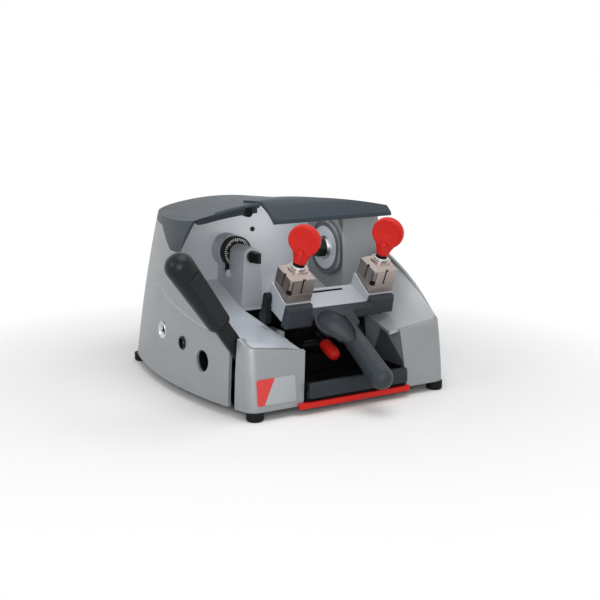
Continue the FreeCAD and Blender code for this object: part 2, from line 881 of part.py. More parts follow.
lip_x = cavity_right - cavity_lean
scoop_sheet = loft("scoop_sheet", "y", [
    (scoop(lip_x - lip_overhang, lip_front, crease_front_x, crease_front, brim_front), -casing_front),
    (scoop(lip_x, lip_middle, crease_middle_x, crease_middle, brim_middle), -cavity_wall_end),
    (scoop(lip_x, lip_rear, crease_rear_x, crease_rear, brim_rear), -head_front),
])
under_scoop = slab("under_scoop", "x", [
    (-casing_front, floor_top),
    (-cavity_wall_end, floor_top),
    (-cavity_wall_end, lip_middle - deck_thickness / 2),
    (-casing_front, lip_front - deck_thickness / 2),
], (0, FAR))
right_cavity_wall = common("right_cavity_wall", under_scoop, slab("right_wall_plate", "y", [
    (cavity_right, floor_top),
    (cavity_right + wall_thickness, floor_top),
    (lip_x + wall_thickness, lip_middle),
    (lip_x, lip_middle),
], (front_beyond, -cavity_wall_end)))
right_deck_blank = fuse("right_deck_blank", scoop_sheet, right_cavity_wall)
piece("right_deck", common("right_deck_form", right_deck_blank, inner_form))

# Tracer pillar, dial and tracer
dial_rear = dial_front + dial_width
tracer_centre = (left_station, cutter_z)
pillar_blank = slab("pillar_blank", "y", [
    (left_station - pillar_low_half, ramp_low),
    (left_station + pillar_low_half, ramp_low),
    (left_station + barrel_radius, cutter_z),
    Via(left_station, cutter_z + barrel_radius),
    (left_station - barrel_radius, cutter_z),
], (-ramp_front, wall_y))
under_ramp = slab("under_ramp", "x", [
    (-ramp_front, 0),
    (wall_y, 0),
    (wall_y, ramp_top),
    (-ramp_front, ramp_low),
], (-FAR, head_left))
dial_room = rod(
    "dial_room",
    dial_diameter / 2 + free_gap,
    "y",
    tracer_centre,
    (dial_front - free_gap, dial_rear + free_gap),
)
pillar_boss = rod("pillar_boss", dial_boss, "y", tracer_centre, (dial_rear + free_gap, wall_y))
tracer_bore = rod(
    "tracer_bore", tracer_diameter / 2 + running_gap, "y", tracer_centre, (-ramp_front, wall_y)
)
index_x = left_station - dial_diameter * 0.36
index_tab = block(
    "index_tab",
    (index_x - index_width / 2, index_x + index_width / 2),
    (dial_front - free_gap - index_width / 2, dial_rear + 2 * free_gap),
    (cutter_z - dial_diameter / 2 - index_height, cutter_z - dial_diameter / 2 - free_gap),
)
piece("tracer_pillar", cut(
    "pillar",
    fuse("pillar_body", cut("pillar_front", pillar_blank, under_ramp, dial_room), pillar_boss, index_tab),
    tracer_bore,
))
tracer_tip = cutter_y - cutter_diameter / 2
blade_root = tracer_tip + blade_length
tracer_bar = rod("tracer_bar", tracer_diameter / 2, "y", tracer_centre, (blade_root, wall_y - 4 * free_gap))
tracer_blade = slab("tracer_blade", "z", [
    (left_station - blade_height / 2, blade_root + free_gap),
    (left_station + blade_height / 2, blade_root + free_gap),
    (left_station + blade_width / 2, tracer_tip),
    (left_station - blade_width / 2, tracer_tip),
], (cutter_z - blade_height / 2, cutter_z + blade_height / 2))
piece("tracer_point", fuse("tracer", tracer_bar, tracer_blade))
piece("tracer_dial", bored(
    "dial", dial_diameter / 2, tracer_diameter / 2 + running_gap, "y", tracer_centre, (dial_front, dial_rear)
))

# Cutter head: housing, bearings, spindle, cutter and its fixing
cutter_centre = (cutter_y, cutter_z)
spindle_radius = spindle_diameter / 2
bearing_radius = bearing_diameter / 2
seat_radius = bearing_radius + bearing_seat
first_seat = head_left + head_wall
second_seat = first_seat + bearing_span
head_low = ramp_low - deck_thickness
left_head_wall = block(
    "left_head_wall", (head_left, first_seat), (-head_front, wall_y + wall_thickness), (head_low, head_top)
)
front_head_wall = common(
    "front_head_wall",
    outer_form,
    block(
        "front_head_region", (head_left, FAR), (-head_front, head_wall - head_front), (head_low, head_top)
    ),
)
side_head_wall = cut(
    "side_head_wall",
    common("side_head_blank", shell, block(
        "side_head_region", (head_left, FAR), (-head_front, ear_rear), (head_low, head_top)
    )),
    casing_side,
    cover_side,
)
first_boss = rod("first_boss", seat_radius, "x", cutter_centre, (head_left, first_seat + bearing_width))
second_boss = block(
    "second_boss",
    (second_seat, second_seat + bearing_width),
    (-head_front, cutter_y + seat_radius),
    (cutter_z - seat_radius, cutter_z + seat_radius),
)
piece("head_housing", cut(
    "head_shell",
    fuse("head_body", left_head_wall, front_head_wall, side_head_wall, first_boss, second_boss),
    rod("seat_bore", bearing_radius, "x", cutter_centre, (first_seat, second_seat + bearing_width)),
    rod("lip_bore", bearing_radius - bearing_seat, "x", cutter_centre, (head_left, first_seat)),
    right_wall,
))
piece("spindle_bearings", *[
    bored(
        f"bearing{number}", bearing_radius - fit_gap, spindle_radius + running_gap, "x", cutter_centre,
        (seat, seat + bearing_width),
    )
    for number, seat in enumerate((first_seat, second_seat))
])
nut_left = cutter_left - hub_length - nut_length
spindle_start = nut_left - spindle_stub
spindle_end = second_seat + bearing_width + spindle_stub
flange_length = head_gap - free_gap
piece("cutter_spindle", turned("spindle", [
    (0, 0),
    (spindle_radius, 0),
    (spindle_radius, cutter_right - spindle_start),
    (hub_diameter / 2, cutter_right - spindle_start),
    (hub_diameter / 2, cutter_right - spindle_start + flange_length),
    (spindle_radius, cutter_right - spindle_start + flange_length),
    (spindle_radius, spindle_end - spindle_start),
    (0, spindle_end - spindle_start),
], "x", (spindle_start, cutter_y, cutter_z)))
cutter_radius = cutter_diameter / 2
piece("cutter", turned("cutter_disc", [
    (spindle_radius + fit_gap, 0),
    (cutter_radius - cutter_bevel, 0),
    (cutter_radius, cutter_bevel),
    (cutter_radius, cutter_width - cutter_bevel),
    (cutter_radius - cutter_bevel, cutter_width),
    (spindle_radius + fit_gap, cutter_width),
], "x", (cutter_left, cutter_y, cutter_z)))
piece("cutter_flange", turned("flange_ring", [
    (spindle_radius + fit_gap, 0),
    (hub_diameter / 2 - hub_length / 2, 0),
    (hub_diameter / 2, hub_length / 2),
    (hub_diameter / 2, hub_length),
    (spindle_radius + fit_gap, hub_length),
], "x", (cutter_left - hub_length, cutter_y, cutter_z)))
nut_corner = nut_width / 2 / cosine(30)
nut_hexagon = slab("nut_hexagon", "x", [
    (cutter_y + nut_corner * cosine(60 * side), cutter_z + nut_corner * sine(60 * side))
    for side in range(6)
], (nut_left, cutter_left - hub_length))
piece("cutter_nut", cut(
    "nut",
    nut_hexagon,
    rod("nut_bore", spindle_radius + fit_gap, "x", cutter_centre, (nut_left, cutter_left)),
))

# Motor, pulleys and belt
motor_centre = (motor_y, motor_z)
motor_radius = motor_diameter / 2
motor_right = motor_length - motor_left
motor_shaft_radius = motor_shaft_diameter / 2
pulley_left = first_seat + bearing_width + pulley_gap
pulley_right = pulley_left + pulley_width
shaft_room = rod(
    "motor_shaft_room", motor_shaft_radius + running_gap, "x", motor_centre, (-motor_left / 2, motor_right)
)
piece("motor", cut("motor_can", rod(
    "motor_barrel", motor_radius, "x", motor_centre, (-motor_left, motor_right)
), shaft_room))
motor_middle = (motor_right - motor_left) / 2
piece("motor_mount", cut(
    "motor_cradle",
    block(
        "cradle_block",
        (motor_middle - motor_mount_length / 2, motor_middle + motor_mount_length / 2),
        (motor_y - motor_mount_width / 2, motor_y + motor_mount_width / 2),
        (floor_top, motor_z - motor_radius / 2),
    ),
    rod("cradle_room", motor_radius + fit_gap, "x", motor_centre, (-FAR, FAR)),
))
piece("motor_shaft", rod(
    "rotor_shaft",
    motor_shaft_radius,
    "x",
    motor_centre,
    (-motor_left / 2 + free_gap, pulley_right + spindle_stub),
))
piece("motor_pulley", bored(
    "drive_pulley", motor_pulley_diameter / 2, motor_shaft_radius + fit_gap, "x", motor_centre,
    (pulley_left, pulley_right),
))
piece("spindle_pulley", bored(
    "driven_pulley", spindle_pulley_diameter / 2, spindle_radius + fit_gap, "x", cutter_centre,
    (pulley_left, pulley_right),
))


def belt_loop(growth):
    """The face inside an open belt that runs round both pulleys at one distance from them."""
    ends = []
    pulleys = ((motor_centre, motor_pulley_diameter), (cutter_centre, spindle_pulley_diameter))
    for (y, z), diameter in pulleys:
        ends.append((y.value, z.value, diameter.value / 2 + growth.value))
    (y0, z0, r0), (y1, z1, r1) = ends
    course = math.atan2(z1 - z0, y1 - y0)
    spread = math.acos((r0 - r1) / math.hypot(y1 - y0, z1 - z0))

    def rim(y, z, radius, angle):
        return FreeCAD.Vector(belt_left.value, y + radius * math.cos(angle), z + radius * math.sin(angle))

    upper, lower = course - spread, course + spread
    far_side = Part.Arc(rim(y0, z0, r0, lower), rim(y0, z0, r0, course + math.pi), rim(y0, z0, r0, upper))
    near_side = Part.Arc(rim(y1, z1, r1, upper), rim(y1, z1, r1, course), rim(y1, z1, r1, lower))
    runs = [
        far_side,
        Part.LineSegment(rim(y0, z0, r0, upper), rim(y1, z1, r1, upper)),
        near_side,
        Part.LineSegment(rim(y1, z1, r1, lower), rim(y0, z0, r0, lower)),
    ]
    return Part.Face(Part.Wire([run.toShape() for run in runs]))


belt_left = pulley_left + (pulley_width - belt_width) / 2
belt_band = belt_loop(belt_gap + belt_thickness).cut(belt_loop(belt_gap))
belt = doc.addObject("Part::Feature", "belt_band")
belt.Shape = belt_band.extrude(FreeCAD.Vector(belt_width.value, 0, 0))
piece("drive_belt", belt)

# Cover, hood over the cutter and the catch under the cover's front edge
hood_notch = block(
    "hood_notch",
    (-hood_left - free_gap, hood_right + free_gap),
    (front_beyond, hood_rear + free_gap),
    (hood_lip - hood_notch_drop, crown_height),
)
piece("top_cover", cut(
    "cover_shell",
    common("cover_outside", outer_form, cover_side, crown("cover_crown", as_size(0))),
    common("cover_inside", inner_form, under_cover),
    hood_notch,
))
hood_top = crown_apex + hood_step
hood_middle = (hood_rear - hood_front) / 2
hood_bend = (hood_top + hood_lip) / 2 + hood_bow


def under_hood(name, drop):
    """Everything under the hood's bowed and arched top, lowered by a drop."""
    side = slab(name + "_side", "x", [
        (hood_rear, 0),
        (hood_rear, hood_top - drop),
        Via(hood_middle, hood_bend - drop),
        (-hood_front, hood_lip - drop),
        (-hood_front, 0),
    ], (-hood_left, hood_right))
    return common(name, side, crown(name + "_crown", drop - hood_step))


piece("cutter_hood", cut(
    "hood", under_hood("hood_outside", as_size(0)), under_hood("hood_inside", hood_thickness)
))
catch_x = -hood_left - catch_width
piece("cover_catch", common("catch_form", block(
    "catch_block",
    (catch_x - catch_width, catch_x),
    (-cover_front, catch_width - cover_front),
    (crown_edge - catch_height / 2, crown_height),
), under_cover))

# Carriage shaft, its brackets, and the sleeve that shifts the carriage along it
pivot_centre = (-pivot_y, pivot_z)
shaft_radius = shaft_diameter / 2
piece("carriage_shaft", rod("shaft", shaft_radius, "x", pivot_centre, (-shaft_left, shaft_right)))


def shaft_bracket(name, left):
    """A post on the floor that holds one end of the shaft."""
    span = (left, left + bracket_width)
    post = block(
        name + "_post",
        span,
        (-pivot_y - bracket_depth / 2, -pivot_y + bracket_depth / 2),
        (floor_top, pivot_z + shaft_radius + bracket_cap),
    )
    return cut(name, post, rod(name + "_bore", shaft_radius + fit_gap, "x", pivot_centre, span))


pitch_height = lever_z + sector_radius
rack_base = pitch_height + tooth_height * TOOTH_ROOT
sleeve_right = -left_leg - free_gap
sleeve_left = sleeve_right - sleeve_length
sleeve_arm = block(
    "sleeve_arm",
    (sleeve_left + sleeve_arm_inset, sleeve_right - sleeve_arm_inset),
    (-sector_y + sector_width / 2, -pivot_y),
    (pivot_z + shaft_radius + running_gap, rack_base + rack_height),
)
sleeve_span = (sleeve_left, sleeve_right)
piece("traverse_sleeve", cut(
    "sleeve",
    fuse("sleeve_body", rod("sleeve_tube", sleeve_radius, "x", pivot_centre, sleeve_span), sleeve_arm),
    rod("sleeve_bore", shaft_radius + running_gap, "x", pivot_centre, sleeve_span),
))

# Rack on the sleeve and toothed sector on the lever's shaft
tooth_pitch = 2 * math.pi * sector_radius / sector_teeth
tooth_half = tooth_pitch / 4 - tooth_play / 4
tooth_slant = tooth_height * math.tan(math.radians(PRESSURE_ANGLE))
sector_span = (-sector_y - sector_width / 2, -sector_y + sector_width / 2)
rack_points = []
for number in RACK_TEETH:
    middle = -lever_x + tooth_pitch * (number + 0.5)
    rack_points += [
        (middle - tooth_half - tooth_slant * TOOTH_ROOT, rack_base),
        (middle - tooth_half + tooth_slant, pitch_height - tooth_height),
        (middle + tooth_half - tooth_slant, pitch_height - tooth_height),
        (middle + tooth_half + tooth_slant * TOOTH_ROOT, rack_base),
    ]
rack_points += [
    (sleeve_right - sleeve_arm_inset, rack_base),
    (sleeve_right - sleeve_arm_inset, rack_base + rack_height),
    (rack_points[0][0], rack_base + rack_height),
]
piece("traverse_rack", slab("rack", "y", rack_points, sector_span))


def sector_point(radius, arc, degrees):
    """A point of the sector at a radius, an arc length at the pitch circle and an angle from upright."""
    angle = degrees + arc / sector_radius * math.degrees(1)
    return (-lever_x + radius * sine(angle), lever_z + radius * cosine(angle))


root_radius = sector_radius - tooth_height * TOOTH_ROOT
sector_points = [(-lever_x, lever_z)]
for number in SECTOR_TEETH:
    degrees = 360 * number / sector_teeth
    sector_points += [
        sector_point(root_radius, -tooth_half - tooth_slant * TOOTH_ROOT, degrees),
        sector_point(sector_radius + tooth_height, -tooth_half + tooth_slant, degrees),
        sector_point(sector_radius + tooth_height, tooth_half - tooth_slant, degrees),
        sector_point(root_radius, tooth_half + tooth_slant * TOOTH_ROOT, degrees),
    ]
lever_centre = (-lever_x, lever_z)
lever_shaft_radius = lever_shaft_diameter / 2
lever_shaft_span = (
    -lever_slot_y - lever_arm_thickness / 2 - lever_shaft_end,
    -sector_y + sector_width / 2 + lever_shaft_end,
)
piece("lever_sector", cut(
    "sector",
    fuse(
        "sector_body",
        slab("sector_blade", "y", sector_points, sector_span),
        rod("sector_hub", lever_arm_width / 2, "y", lever_centre, sector_span),
    ),
    rod("sector_bore", lever_shaft_radius + fit_gap, "y", lever_centre, sector_span),
))
piece("lever_shaft", rod("lever_axle", lever_shaft_radius, "y", lever_centre, lever_shaft_span))


def lever_bracket(name, front):
    """A post on the floor that carries the lever's shaft."""
    span = (front, front + bracket_width)
    post = block(
        name + "_post",
        (-lever_x - lever_shaft_diameter, -lever_x + lever_shaft_diameter),
        span,
        (floor_top, lever_z + lever_shaft_diameter),
    )
    return cut(name, post, rod(name + "_bore", lever_shaft_radius + running_gap, "y", lever_centre, span))


piece(
    "floor_brackets",
    shaft_bracket("left_bracket", -shaft_left),
    shaft_bracket("right_bracket", shaft_right - bracket_width),
    lever_bracket("front_lever_bracket", slot_rear),
    lever_bracket("rear_lever_bracket", sector_span[0] - bracket_width - free_gap),
)

# Lever arm and grip, drawn upright about the lever's axis
arm_span = (-lever_arm_thickness / 2, lever_arm_thickness / 2)
lever_bar = fuse(
    "lever_bar",
    block("lever_flat", (-lever_arm_width / 2, lever_arm_width / 2), arm_span, (0, lever_arm_length)),
    rod("lever_eye", lever_arm_width / 2, "y", (0, 0), arm_span),
)
leaned("lever_arm", cut("lever_blank", lever_bar, rod(
    "lever_eye_bore", lever_shaft_radius + fit_gap, "y", (0, 0), arm_span
)))
low_radius = lever_grip_low / 2
top_radius = lever_grip_top / 2
lever_grip_start = lever_arm_length - lever_grip_lap
grip_end = lever_grip_start + lever_grip_length
grip_form = turned("grip_form", [
    (0, lever_grip_start),
    (low_radius * 0.7, lever_grip_start),
    Via(low_radius * 0.93, lever_grip_start + low_radius * 0.3),
    (low_radius, lever_grip_start + low_radius),
    (top_radius, grip_end - top_radius * 0.85),
    Via(top_radius * 0.751, grip_end - top_radius * 0.249),
    (top_radius * 0.15, grip_end),
    (0, grip_end),
])
leaned("lever_grip", cut("grip_socketed", grip_form, block(
    "grip_socket",
    (-lever_arm_width / 2 - fit_gap, lever_arm_width / 2 + fit_gap),
    (-lever_arm_thickness / 2 - fit_gap, lever_arm_thickness / 2 + fit_gap),
    (0, lever_arm_length + fit_gap),
)))

# Carriage body, in its upright frame with the pivot at the origin
arm_low = clamp_base - arm_height
arm_front = -arm_rear - arm_depth
clamp_middle = -arm_rear - arm_depth / 2
plate_top = clamp_base - plate_drop
plate_low = plate_top - plate_thickness
stations = {"left": left_station, "right": right_station}
legs = {"left": -left_leg, "right": right_leg}
gauge_centre = (-gauge_y, clamp_base - gauge_drop)
gauge_radius = gauge_rod_diameter / 2
gauge_right = left_station - arm_left - free_gap
stud_radius = stud_diameter / 2
stud_low = clamp_base - stud_root
body_solids = [block(
    "carriage_plate", (left_station, right_station), (arm_front, -arm_rear), (plate_low, plate_top)
)]
stud_sockets = []
for side, x in stations.items():
    body_solids.append(block(
        f"{side}_arm", (x - arm_left, x + arm_right), (arm_front, -arm_rear), (arm_low, clamp_base)
    ))
    body_solids.append(slab(f"{side}_arm_lip", "x", [
        (arm_front, arm_low),
        (-arm_rear, arm_low),
        (-arm_rear, clamp_base + lip_rise),
        (-arm_rear - lip_rise / 2, clamp_base + lip_rise),
        (arm_front, clamp_base),
    ], (x - arm_left, x - arm_left + lip_width)))
    stud_sockets.append(rod(
        f"{side}_stud_socket", stud_radius + fit_gap, "z", (x, clamp_middle), (stud_low, clamp_base)
    ))
for side, x in legs.items():
    body_solids.append(slab(f"{side}_leg", "x", [
        (arm_front, plate_low),
        (-arm_rear, plate_low),
        (hub_radius * 0.9, hub_radius * 0.4),
        (-hub_radius * 0.9, -hub_radius * 0.4),
    ], (x, x + leg_width)))
    body_solids.append(rod(f"{side}_hub", hub_radius, "x", (0, 0), (x, x + leg_width)))
web_rear = -lock_web_setback
web_front = web_rear - lock_web_depth
body_solids.append(block(
    "lock_web",
    (leg_width - left_leg, right_leg),
    (web_front, web_rear),
    (lock_z - lock_web_height / 2, lock_z + lock_web_height / 2),
))
slot_middle = (left_station + right_station) / 2
plate_slot = block(
    "plate_slot",
    (slot_middle - plate_slot_length / 2, slot_middle + plate_slot_length / 2),
    (-arm_rear - 2 * plate_slot_width, -arm_rear - plate_slot_width),
    (arm_low, clamp_base),
)
casting = cut(
    "carriage_casting",
    fuse("carriage_blank", *body_solids),
    plate_slot,
    *stud_sockets,
    rod("pivot_bore", shaft_radius + running_gap, "x", (0, 0), (-FAR, FAR)),
    rod("gauge_bore", gauge_radius + running_gap, "x", gauge_centre, (-FAR, gauge_right + gauge_pin_length)),
    rod("lock_bore", lock_pin_diameter / 2 + running_gap, "y", (lock_x, lock_z), (web_front, web_rear)),
)
carried("carriage_body", casting)


# Dark front cover of the carriage, and the handle in its own dropped frame
def at_front(edge):
    """True for the edges of a cover block that stand clear of the arms."""
    return all(vertex.Point.y < arm_front.value - block_fall.value for vertex in edge.Vertexes)


cover_solids = [slab("cover_bar", "x", [
    (arm_front, plate_top),
    (arm_front - cover_bar_depth, plate_top - block_fall),
    (arm_front - block_reach, arm_low),
    (arm_front, arm_low),
], (left_station, right_station))]
for side, x in stations.items():
    cover_solids.append(rounded(slab(f"{side}_cover_block", "x", [
        (arm_front, clamp_base),
        (arm_front - block_top_reach, clamp_base - block_fall),
        (arm_front - block_reach, arm_low),
        (arm_front, arm_low),
    ], (x - arm_left, x + arm_right)), cover_rounding, at_front))
dish_x = handle_x - dish_offset
dish_radius = dish_diameter / 2
dish_y = -dish_radius - dish_setback


def at_handle(name, solid):
    """Set a solid of the handle at its place on the carriage's front."""
    return moved(name, [solid], (0, arm_front, handle_z), X_AXIS, handle_drop)


dish_room = at_handle("dish_room", rod(
    "dish_hole", dish_radius + fit_gap, "z", (dish_x, dish_y), (-FAR, dish_height)
))
front_cover = cut("front_cover", fuse("cover_blank", *cover_solids), dish_room)
carried("carriage_cover", front_cover)

dish = turned("dish", [
    (0, 0),
    (dish_radius * 0.55, 0),
    Via(dish_radius * 0.85, dish_height * 0.28),
    (dish_radius, dish_height),
    (dish_radius - dish_lip, dish_height),
    Via(dish_radius * 0.55, dish_height * 0.62),
    (0, dish_height / 2),
], "z", (dish_x, dish_y, -dish_height))


def grip_section(width, height):
    """A soft-cornered section of the handle's grip, a little above the dish's rim."""
    half = width / 2
    reach = height * 0.42
    low = grip_rise - height
    corners = [
        ((handle_x + half, low), (-1, 0), (0, 1)),
        ((handle_x + half, grip_rise), (0, -1), (-1, 0)),
        ((handle_x - half, grip_rise), (1, 0), (0, -1)),
        ((handle_x - half, low), (0, 1), (1, 0)),
    ]
    return [point for corner in corners for point in soft_corner(*corner, reach)]


grip = loft("grip", "y", [
    (grip_section(grip_width * scale, grip_height * scale), dish_y - grip_length * part)
    for scale, part in GRIP_TAPER
])
handle_web = slab("handle_web", "z", [
    (dish_x, 0),
    (handle_x + dish_radius * 1.4, 0),
    (handle_x + grip_width * 0.42, dish_y * 0.9),
    (handle_x + grip_width * 0.38, dish_y * 1.3),
    (dish_x, dish_y),
], (-dish_height, -dish_height / 4))
dish_bowl = rod("dish_bowl", dish_radius - dish_lip, "z", (dish_x, dish_y), (-dish_height / 2, dish_height))
handle_stem = cut("handle_stem", fuse("handle_stem_blank", grip, handle_web), dish_bowl)
handle_solid = at_handle("handle_set", fuse("handle_blank", dish, handle_stem))
carried("carriage_handle", cut("handle", handle_solid, front_cover, casting))

# Clamps: lower and upper jaw, stud, washer, spacer and knob at each station
split_z = clamp_base + jaw_split
edge_top = clamp_base + clamp_height
jaw_top = edge_top + clamp_chamfer
boss_top = jaw_top + jaw_boss_height
washer_top = boss_top + washer_height
knob_base = washer_top + spacer_height
stud_top = knob_base + stud_reach
clamp_half = clamp_size / 2
FACES = ((1, 0), (-1, 0), (0, 1), (0, -1))


def square(name, x, span):
    """A square block about one clamp's axis."""
    depth = (clamp_middle - clamp_half, clamp_middle + clamp_half)
    return block(name, (x - clamp_half, x + clamp_half), depth, span)


def square_outline(x, half):
    """The corners of a square about one clamp's axis."""
    return [
        (x - half, clamp_middle - half),
        (x + half, clamp_middle - half),
        (x + half, clamp_middle + half),
        (x - half, clamp_middle + half),
    ]


def face_groove(name, x, across, back):
    """An upright groove down the middle of one face of an upper jaw."""
    half_x = jaw_groove if across else jaw_groove / 2
    half_y = jaw_groove if back else jaw_groove / 2
    middle_x = x + clamp_half * across
    middle_y = clamp_middle + clamp_half * back
    return block(
        name,
        (middle_x - half_x, middle_x + half_x),
        (middle_y - half_y, middle_y + half_y),
        (split_z, jaw_top),
    )


knob_radius = knob_diameter / 2
knob_middle = knob_height - knob_radius
shoulder_z = knob_middle - root(knob_radius * knob_radius - knob_neck * knob_neck / 4)


def knob_form(name):
    """The flat paddle of a clamp knob, standing on its axis."""
    paddle = slab(name, "y", [
        (-knob_neck / 2, 0),
        (knob_neck / 2, 0),
        (knob_neck / 2, shoulder_z),
        Via(0, knob_height),
        (-knob_neck / 2, shoulder_z),
    ], (-knob_thickness / 2, knob_thickness / 2))
    return rounded(paddle, knob_rounding, on_flat_side)


def on_flat_side(edge):
    """True for the edges round a paddle's flat sides, all but those at its foot."""
    first, last = edge.Vertexes[0].Point, edge.Vertexes[-1].Point
    return abs(first.y - last.y) < 1e-6 and max(first.z, last.z) > 1e-6


for side, x in stations.items():
    axis = (x, clamp_middle)
    carried(f"{side}_lower_jaw", cut(
        f"{side}_lower_jaw_form",
        square(f"{side}_lower_jaw_block", x, (clamp_base, split_z)),
        rod(f"{side}_lower_bore", stud_radius + fit_gap, "z", axis, (clamp_base, split_z)),
    ))
    carried(f"{side}_clamp_stud", rod(f"{side}_stud", stud_radius, "z", axis, (stud_low, stud_top)))
    upper_block = fuse(
        f"{side}_upper_jaw_blank",
        square(f"{side}_upper_jaw_block", x, (split_z + jaw_gap, edge_top)),
        loft(f"{side}_upper_jaw_slope", "z", [
            (square_outline(x, clamp_half), edge_top),
            (square_outline(x, clamp_half - clamp_chamfer), jaw_top),
        ]),
        rod(f"{side}_upper_boss", jaw_boss_diameter / 2, "z", axis, (jaw_top, boss_top)),
    )
    corner = (x - clamp_half, clamp_middle - clamp_half)
    carried(f"{side}_upper_jaw", cut(
        f"{side}_upper_jaw_form",
        upper_block,
        *[face_groove(f"{side}_groove{number}", x, *face) for number, face in enumerate(FACES)],
        rod(f"{side}_corner_flute", jaw_flute / 2, "z", corner, (split_z, edge_top - jaw_flute)),
        rod(f"{side}_upper_bore", stud_radius + running_gap, "z", axis, (split_z, boss_top)),
    ))
    stud_room = stud_radius + running_gap
    carried(f"{side}_clamp_washer", fuse(
        f"{side}_washer_stack",
        bored(f"{side}_washer", washer_diameter / 2, stud_room, "z", axis, (boss_top, washer_top)),
        bored(f"{side}_spacer", spacer_diameter / 2, stud_room, "z", axis, (washer_top, knob_base)),
    ))
    knob = moved(f"{side}_knob_set", [knob_form(f"{side}_paddle")], (*axis, knob_base), Z_AXIS, -knob_turn)
    carried(f"{side}_clamp_knob", cut(f"{side}_knob_form", knob, rod(
        f"{side}_knob_bore", stud_radius + running_gap, "z", axis, (knob_base, stud_top + jaw_travel)
    )))

# Shoulder gauge on a pin in the side of the left arm
gauge_left = gauge_right - gauge_width
tip_y = -gauge_y - gauge_length * cosine(gauge_slope)
tip_z = clamp_base - gauge_drop - gauge_length * sine(gauge_slope)
aside_y = gauge_half_width * sine(gauge_slope)
aside_z = gauge_half_width * cosine(gauge_slope)
gauge_paddle = slab("gauge_paddle", "x", [
    (-gauge_y - aside_y, clamp_base - gauge_drop + aside_z),
    (tip_y - aside_y, tip_z + aside_z),
    (tip_y + aside_y, tip_z - aside_z),
    (-gauge_y + aside_y, clamp_base - gauge_drop - aside_z),
], (gauge_left, gauge_right))
carried("shoulder_gauge", fuse(
    "gauge",
    rod("gauge_pin", gauge_radius, "x", gauge_centre, (gauge_left, gauge_right + gauge_pin_length)),
    rod("gauge_eye", gauge_half_width, "x", gauge_centre, (gauge_left, gauge_right)),
    gauge_paddle,
))

# Lock knob and its pin under the carriage
lock_centre = (lock_x, lock_z)
lock_pin_radius = lock_pin_diameter / 2
lock_knob_rear = web_front - lock_pin_reach
lock_pin_front = lock_knob_rear - lock_pin_reach
carried("lock_pin", rod("pin", lock_pin_radius, "y", lock_centre, (lock_pin_front, web_rear)))
lock_radius = lock_knob_diameter / 2
capsule = turned("capsule", [
    (0, 0),
    (lock_radius * 0.2, 0),
    Via(lock_radius * 0.766, lock_radius * 0.234),
    (lock_radius, lock_radius * 0.8),
    (lock_radius, lock_knob_length - lock_radius * 0.3),
    (lock_radius * 0.7, lock_knob_length),
    (0, lock_knob_length),
], "y", (lock_x, lock_knob_rear - lock_knob_length, lock_z))
carried("lock_knob", cut("knob_capsule", capsule, rod(
    "knob_pin_bore", lock_pin_radius + fit_gap, "y", lock_centre, (lock_pin_front, lock_knob_rear)
)))

# Chip tray with its front bar and pull strip
strip_front = -casing_front - tray_bar_depth
tray_box = cut(
    "tray_box",
    block("tray_outside", (tray_left, tray_right), (-casing_front, -tray_rear), (tray_low, tray_top)),
    block(
        "tray_inside",
        (tray_left + tray_wall, tray_right - tray_wall),
        (tray_wall - casing_front, -tray_rear - tray_wall),
        (tray_low + tray_wall, tray_top),
    ),
)
tray_apron = block(
    "tray_apron", (tray_left, tray_right), (-casing_front, tray_wall - casing_front), (pull_low, tray_low)
)
tray_bar = block(
    "tray_bar", (tray_left, tray_right), (strip_front, -casing_front), (tray_top - tray_bar_height, tray_top)
)
piece("chip_tray", fuse("tray", tray_box, tray_apron, tray_bar))
piece("tray_pull", block(
    "pull",
    (tray_left - pull_left, tray_right + pull_right),
    (strip_front, -casing_front),
    (pull_low, pull_low + pull_height),
))

# Mains inlet and power switch in the rear panel
panel_face = casing_rear + plate_proud


def panel_fitting(name, x, width, height, depth):
    """A body through a window of the rear panel with a flange on the outside."""
    flange = block(
        name + "_flange",
        (x - width / 2 - flange_lap, x + width / 2 + flange_lap),
        (casing_rear, panel_face),
        (inlet_z - height / 2 - flange_lap, inlet_z + height / 2 + flange_lap),
    )
    barrel = block(
        name + "_barrel",
        (x - width / 2 + fit_gap, x + width / 2 - fit_gap),
        (casing_rear - depth, casing_rear),
        (inlet_z - height / 2 + fit_gap, inlet_z + height / 2 - fit_gap),
    )
    return fuse(name + "_body", flange, barrel)


def fitting_recess(name, x, width, height, depth):
    """The hollow of a fitting, open to the outside."""
    return block(
        name,
        (x - width / 2 + flange_lap, x + width / 2 - flange_lap),
        (casing_rear - depth + flange_lap, panel_face),
        (inlet_z - height / 2 + flange_lap, inlet_z + height / 2 - flange_lap),
    )


inlet_back = casing_rear - inlet_depth + flange_lap
inlet_shell = cut(
    "inlet_shell",
    panel_fitting("inlet", inlet_x, inlet_width, inlet_height, inlet_depth),
    fitting_recess("inlet_recess", inlet_x, inlet_width, inlet_height, inlet_depth),
)
piece("mains_inlet", fuse("inlet", inlet_shell, *[
    rod(
        f"inlet_pin{number}",
        inlet_pin_radius,
        "y",
        (inlet_x + inlet_width * across / 4, inlet_z + inlet_height * up / 8),
        (inlet_back - flange_lap / 2, casing_rear - flange_lap),
    )
    for number, (across, up) in enumerate(((-1, -1), (0, 1), (1, -1)))
]))
rocker_y = casing_rear - rocker_depth / 2
rocker_reach = switch_width / 2 - flange_lap / 2
piece("switch_frame", cut(
    "switch",
    panel_fitting("switch", switch_x, switch_width, switch_height, switch_depth),
    fitting_recess("switch_recess", switch_x, switch_width, switch_height, switch_depth),
    rod(
        "rocker_pin_bore",
        rocker_pin / 2 + running_gap,
        "x",
        (rocker_y, inlet_z),
        (switch_x - rocker_reach, switch_x + rocker_reach),
    ),
))
rocker_half = switch_height / 2 - flange_lap - rocker_room
rocker_width = switch_width - 2 * flange_lap - 2 * free_gap
